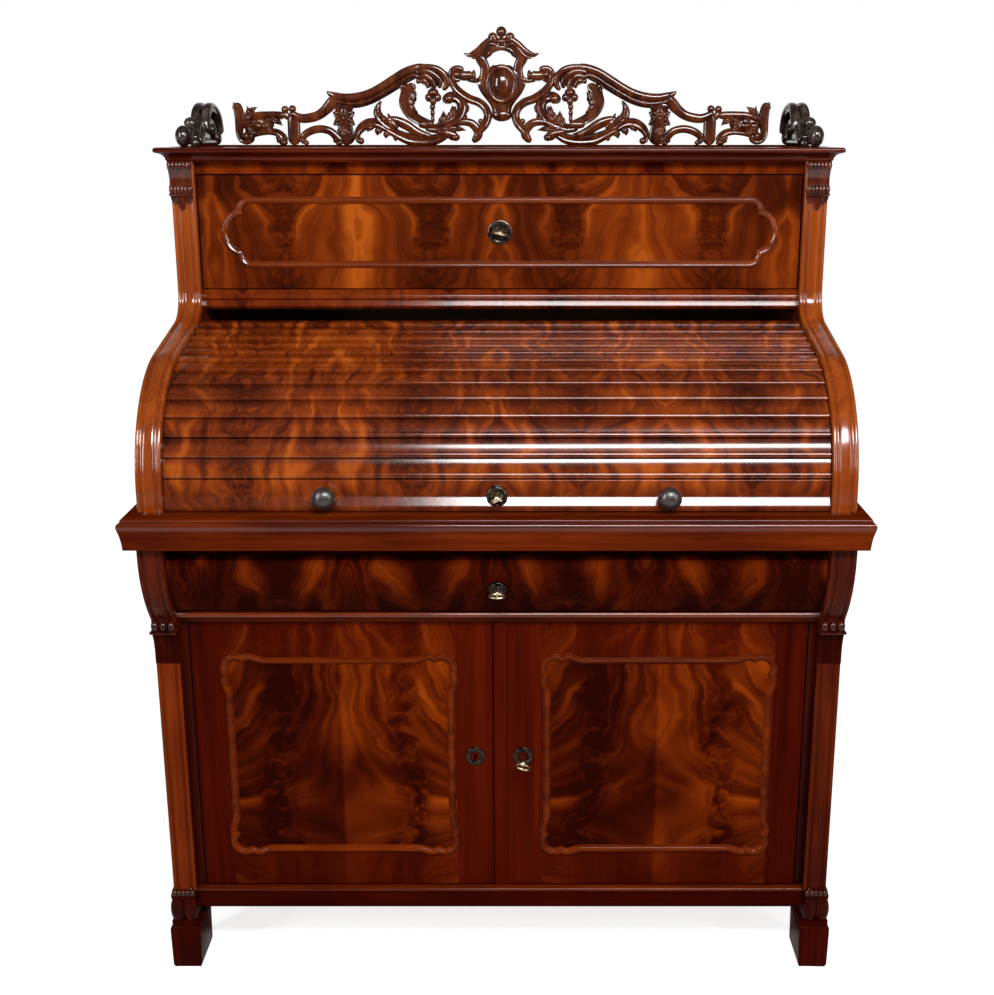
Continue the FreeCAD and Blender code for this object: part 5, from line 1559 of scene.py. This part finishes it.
# The necks take the dark foot finish, partly as painted shade under the console roll
dress_case(necks, foot_wood)
dress_case(pilasters(), post_wood, "pilasters")
blocks, bulbs, beads = feet()
dress_case(blocks, foot_wood, "feet")
dress_case(bulbs, bulb_wood)
dress_case(beads, dark_carving)
dress_case(pilaster_caps(), cap_wood, "pilaster_caps")
dress_case(table_edge(), edge_wood, "table_edge")
dress_case(cornice(), cornice_wood, "cornice")
dress_case(mid_rail(), rail_flame, "mid_rail")
dress_case(bead_rail(), rail_bead, "bead_rail")
dress_case(plinth_bead(), lit_plinth_bead)
dress(lid_slats(), "lid", "mahogany_flame", lid_flame, "lid_slats")
dress(lid_rail(), "lid", "mahogany_flame", lid_flame, "lid_rail")
dress(lid_knobs(), "lid", "dark_knob", knob_wood, "lid_knobs")
dress(drawer_moulding(), "top_drawer", "mahogany", moulding_wood, "top_drawer_moulding")
for side in ("left", "right"):
    body = "door_" + side
    dress(door_moulding(side), body, "mahogany", door_bead, body + "_moulding")
    ring = escutcheon(body + "_dished_escutcheon", body + "_escutcheon", DOOR_RIM)
    dress(ring, body, "dark_brass", dark_brass, body + "_escutcheon")
for body, sink, lift in (("lid", RAIL_SETBACK, 4), ("top_drawer", 0, 0)):
    ring = escutcheon(body + "_dished_escutcheon", body + "_escutcheon", PLATE_RIM, sink, lift, True)
    dress(ring, body, "dark_brass", ring_brass, body + "_escutcheon")
dress(low_escutcheon(), "low_drawer", "dark_brass", dark_brass, "low_drawer_escutcheon")
dress(low_drawer_front(), "low_drawer", "mahogany_flame", frieze_flame, "low_drawer_front")

# Keys: lean of the bow in degrees, its radius, and how far it stands forward
for body, lean, radius, forward in (
    ("lid_key", 57, 9, 0),
    ("top_drawer_key", 102, 12, 3),
    ("low_drawer_key", 90, 11, 0),
    ("door_right_key", 105, 10.8, 13),
):
    dress(key(body + "_turned", body, lean, radius, forward), body, "key_metal", key_metal, body)

wing = gallery_wing()
for form, name, material, node in (
    (wing, "carved_gallery_right", carved, "gallery_right"),
    (Shells().join(wing, -1), "carved_gallery_left", carved, "gallery_left"),
    (gallery_middle(), "carved_gallery_middle", carved, "gallery_centre"),
    (on_both_sides(gallery_end()), "carved_gallery_ends", black_carving, "gallery_ends"),
):
    dress(form.build(name), "case", "carved_mahogany", material, node)

# Solids kept as they are, with a finish and the width of their rounded edges
KEPT_SOLIDS = {
    drawer_flame: {"top_drawer_front": 1.2},
    door_flame: {"door_left": 1.2, "door_right": 1.2, "meeting_strip": 1.0},
    lengthwise: {
        "writing_top": 0.5,
        "nest_case": 0.6, "nest_drawer_left": 0.6, "nest_drawer_right": 0.6,
    },
    high_flame: {"frieze_rail": 0.8},
    top_wood: {"top_board": 0.5},
    low_lengthwise: {"plinth_rail": 1.0, "table_rail": 1.0},
    upright: {"upper_side_left": 0.5, "upper_side_right": 0.5},
    low_upright: {"lower_sides": 0.5},
    carcass: {
        "cupboard_floor": 0, "cupboard_shelf": 1, "drawer_board": 0, "dust_board": 0,
        "top_drawer_box": 0.8, "low_drawer_box": 0.8, "lid_ends": 0.8,
    },
    back_wood: {"lower_back": 0, "upper_back": 0},
    cloth: {"lid_backing": 0},
    hide: {"writing_leather": 0},
    iron: {"lid_lock": 0, "top_drawer_lock": 0, "low_drawer_lock": 0, "door_right_lock": 0, "pivot_pins": 0},
}
for finish, nodes in KEPT_SOLIDS.items():
    for node, width in nodes.items():
        soften(node, finish, width)
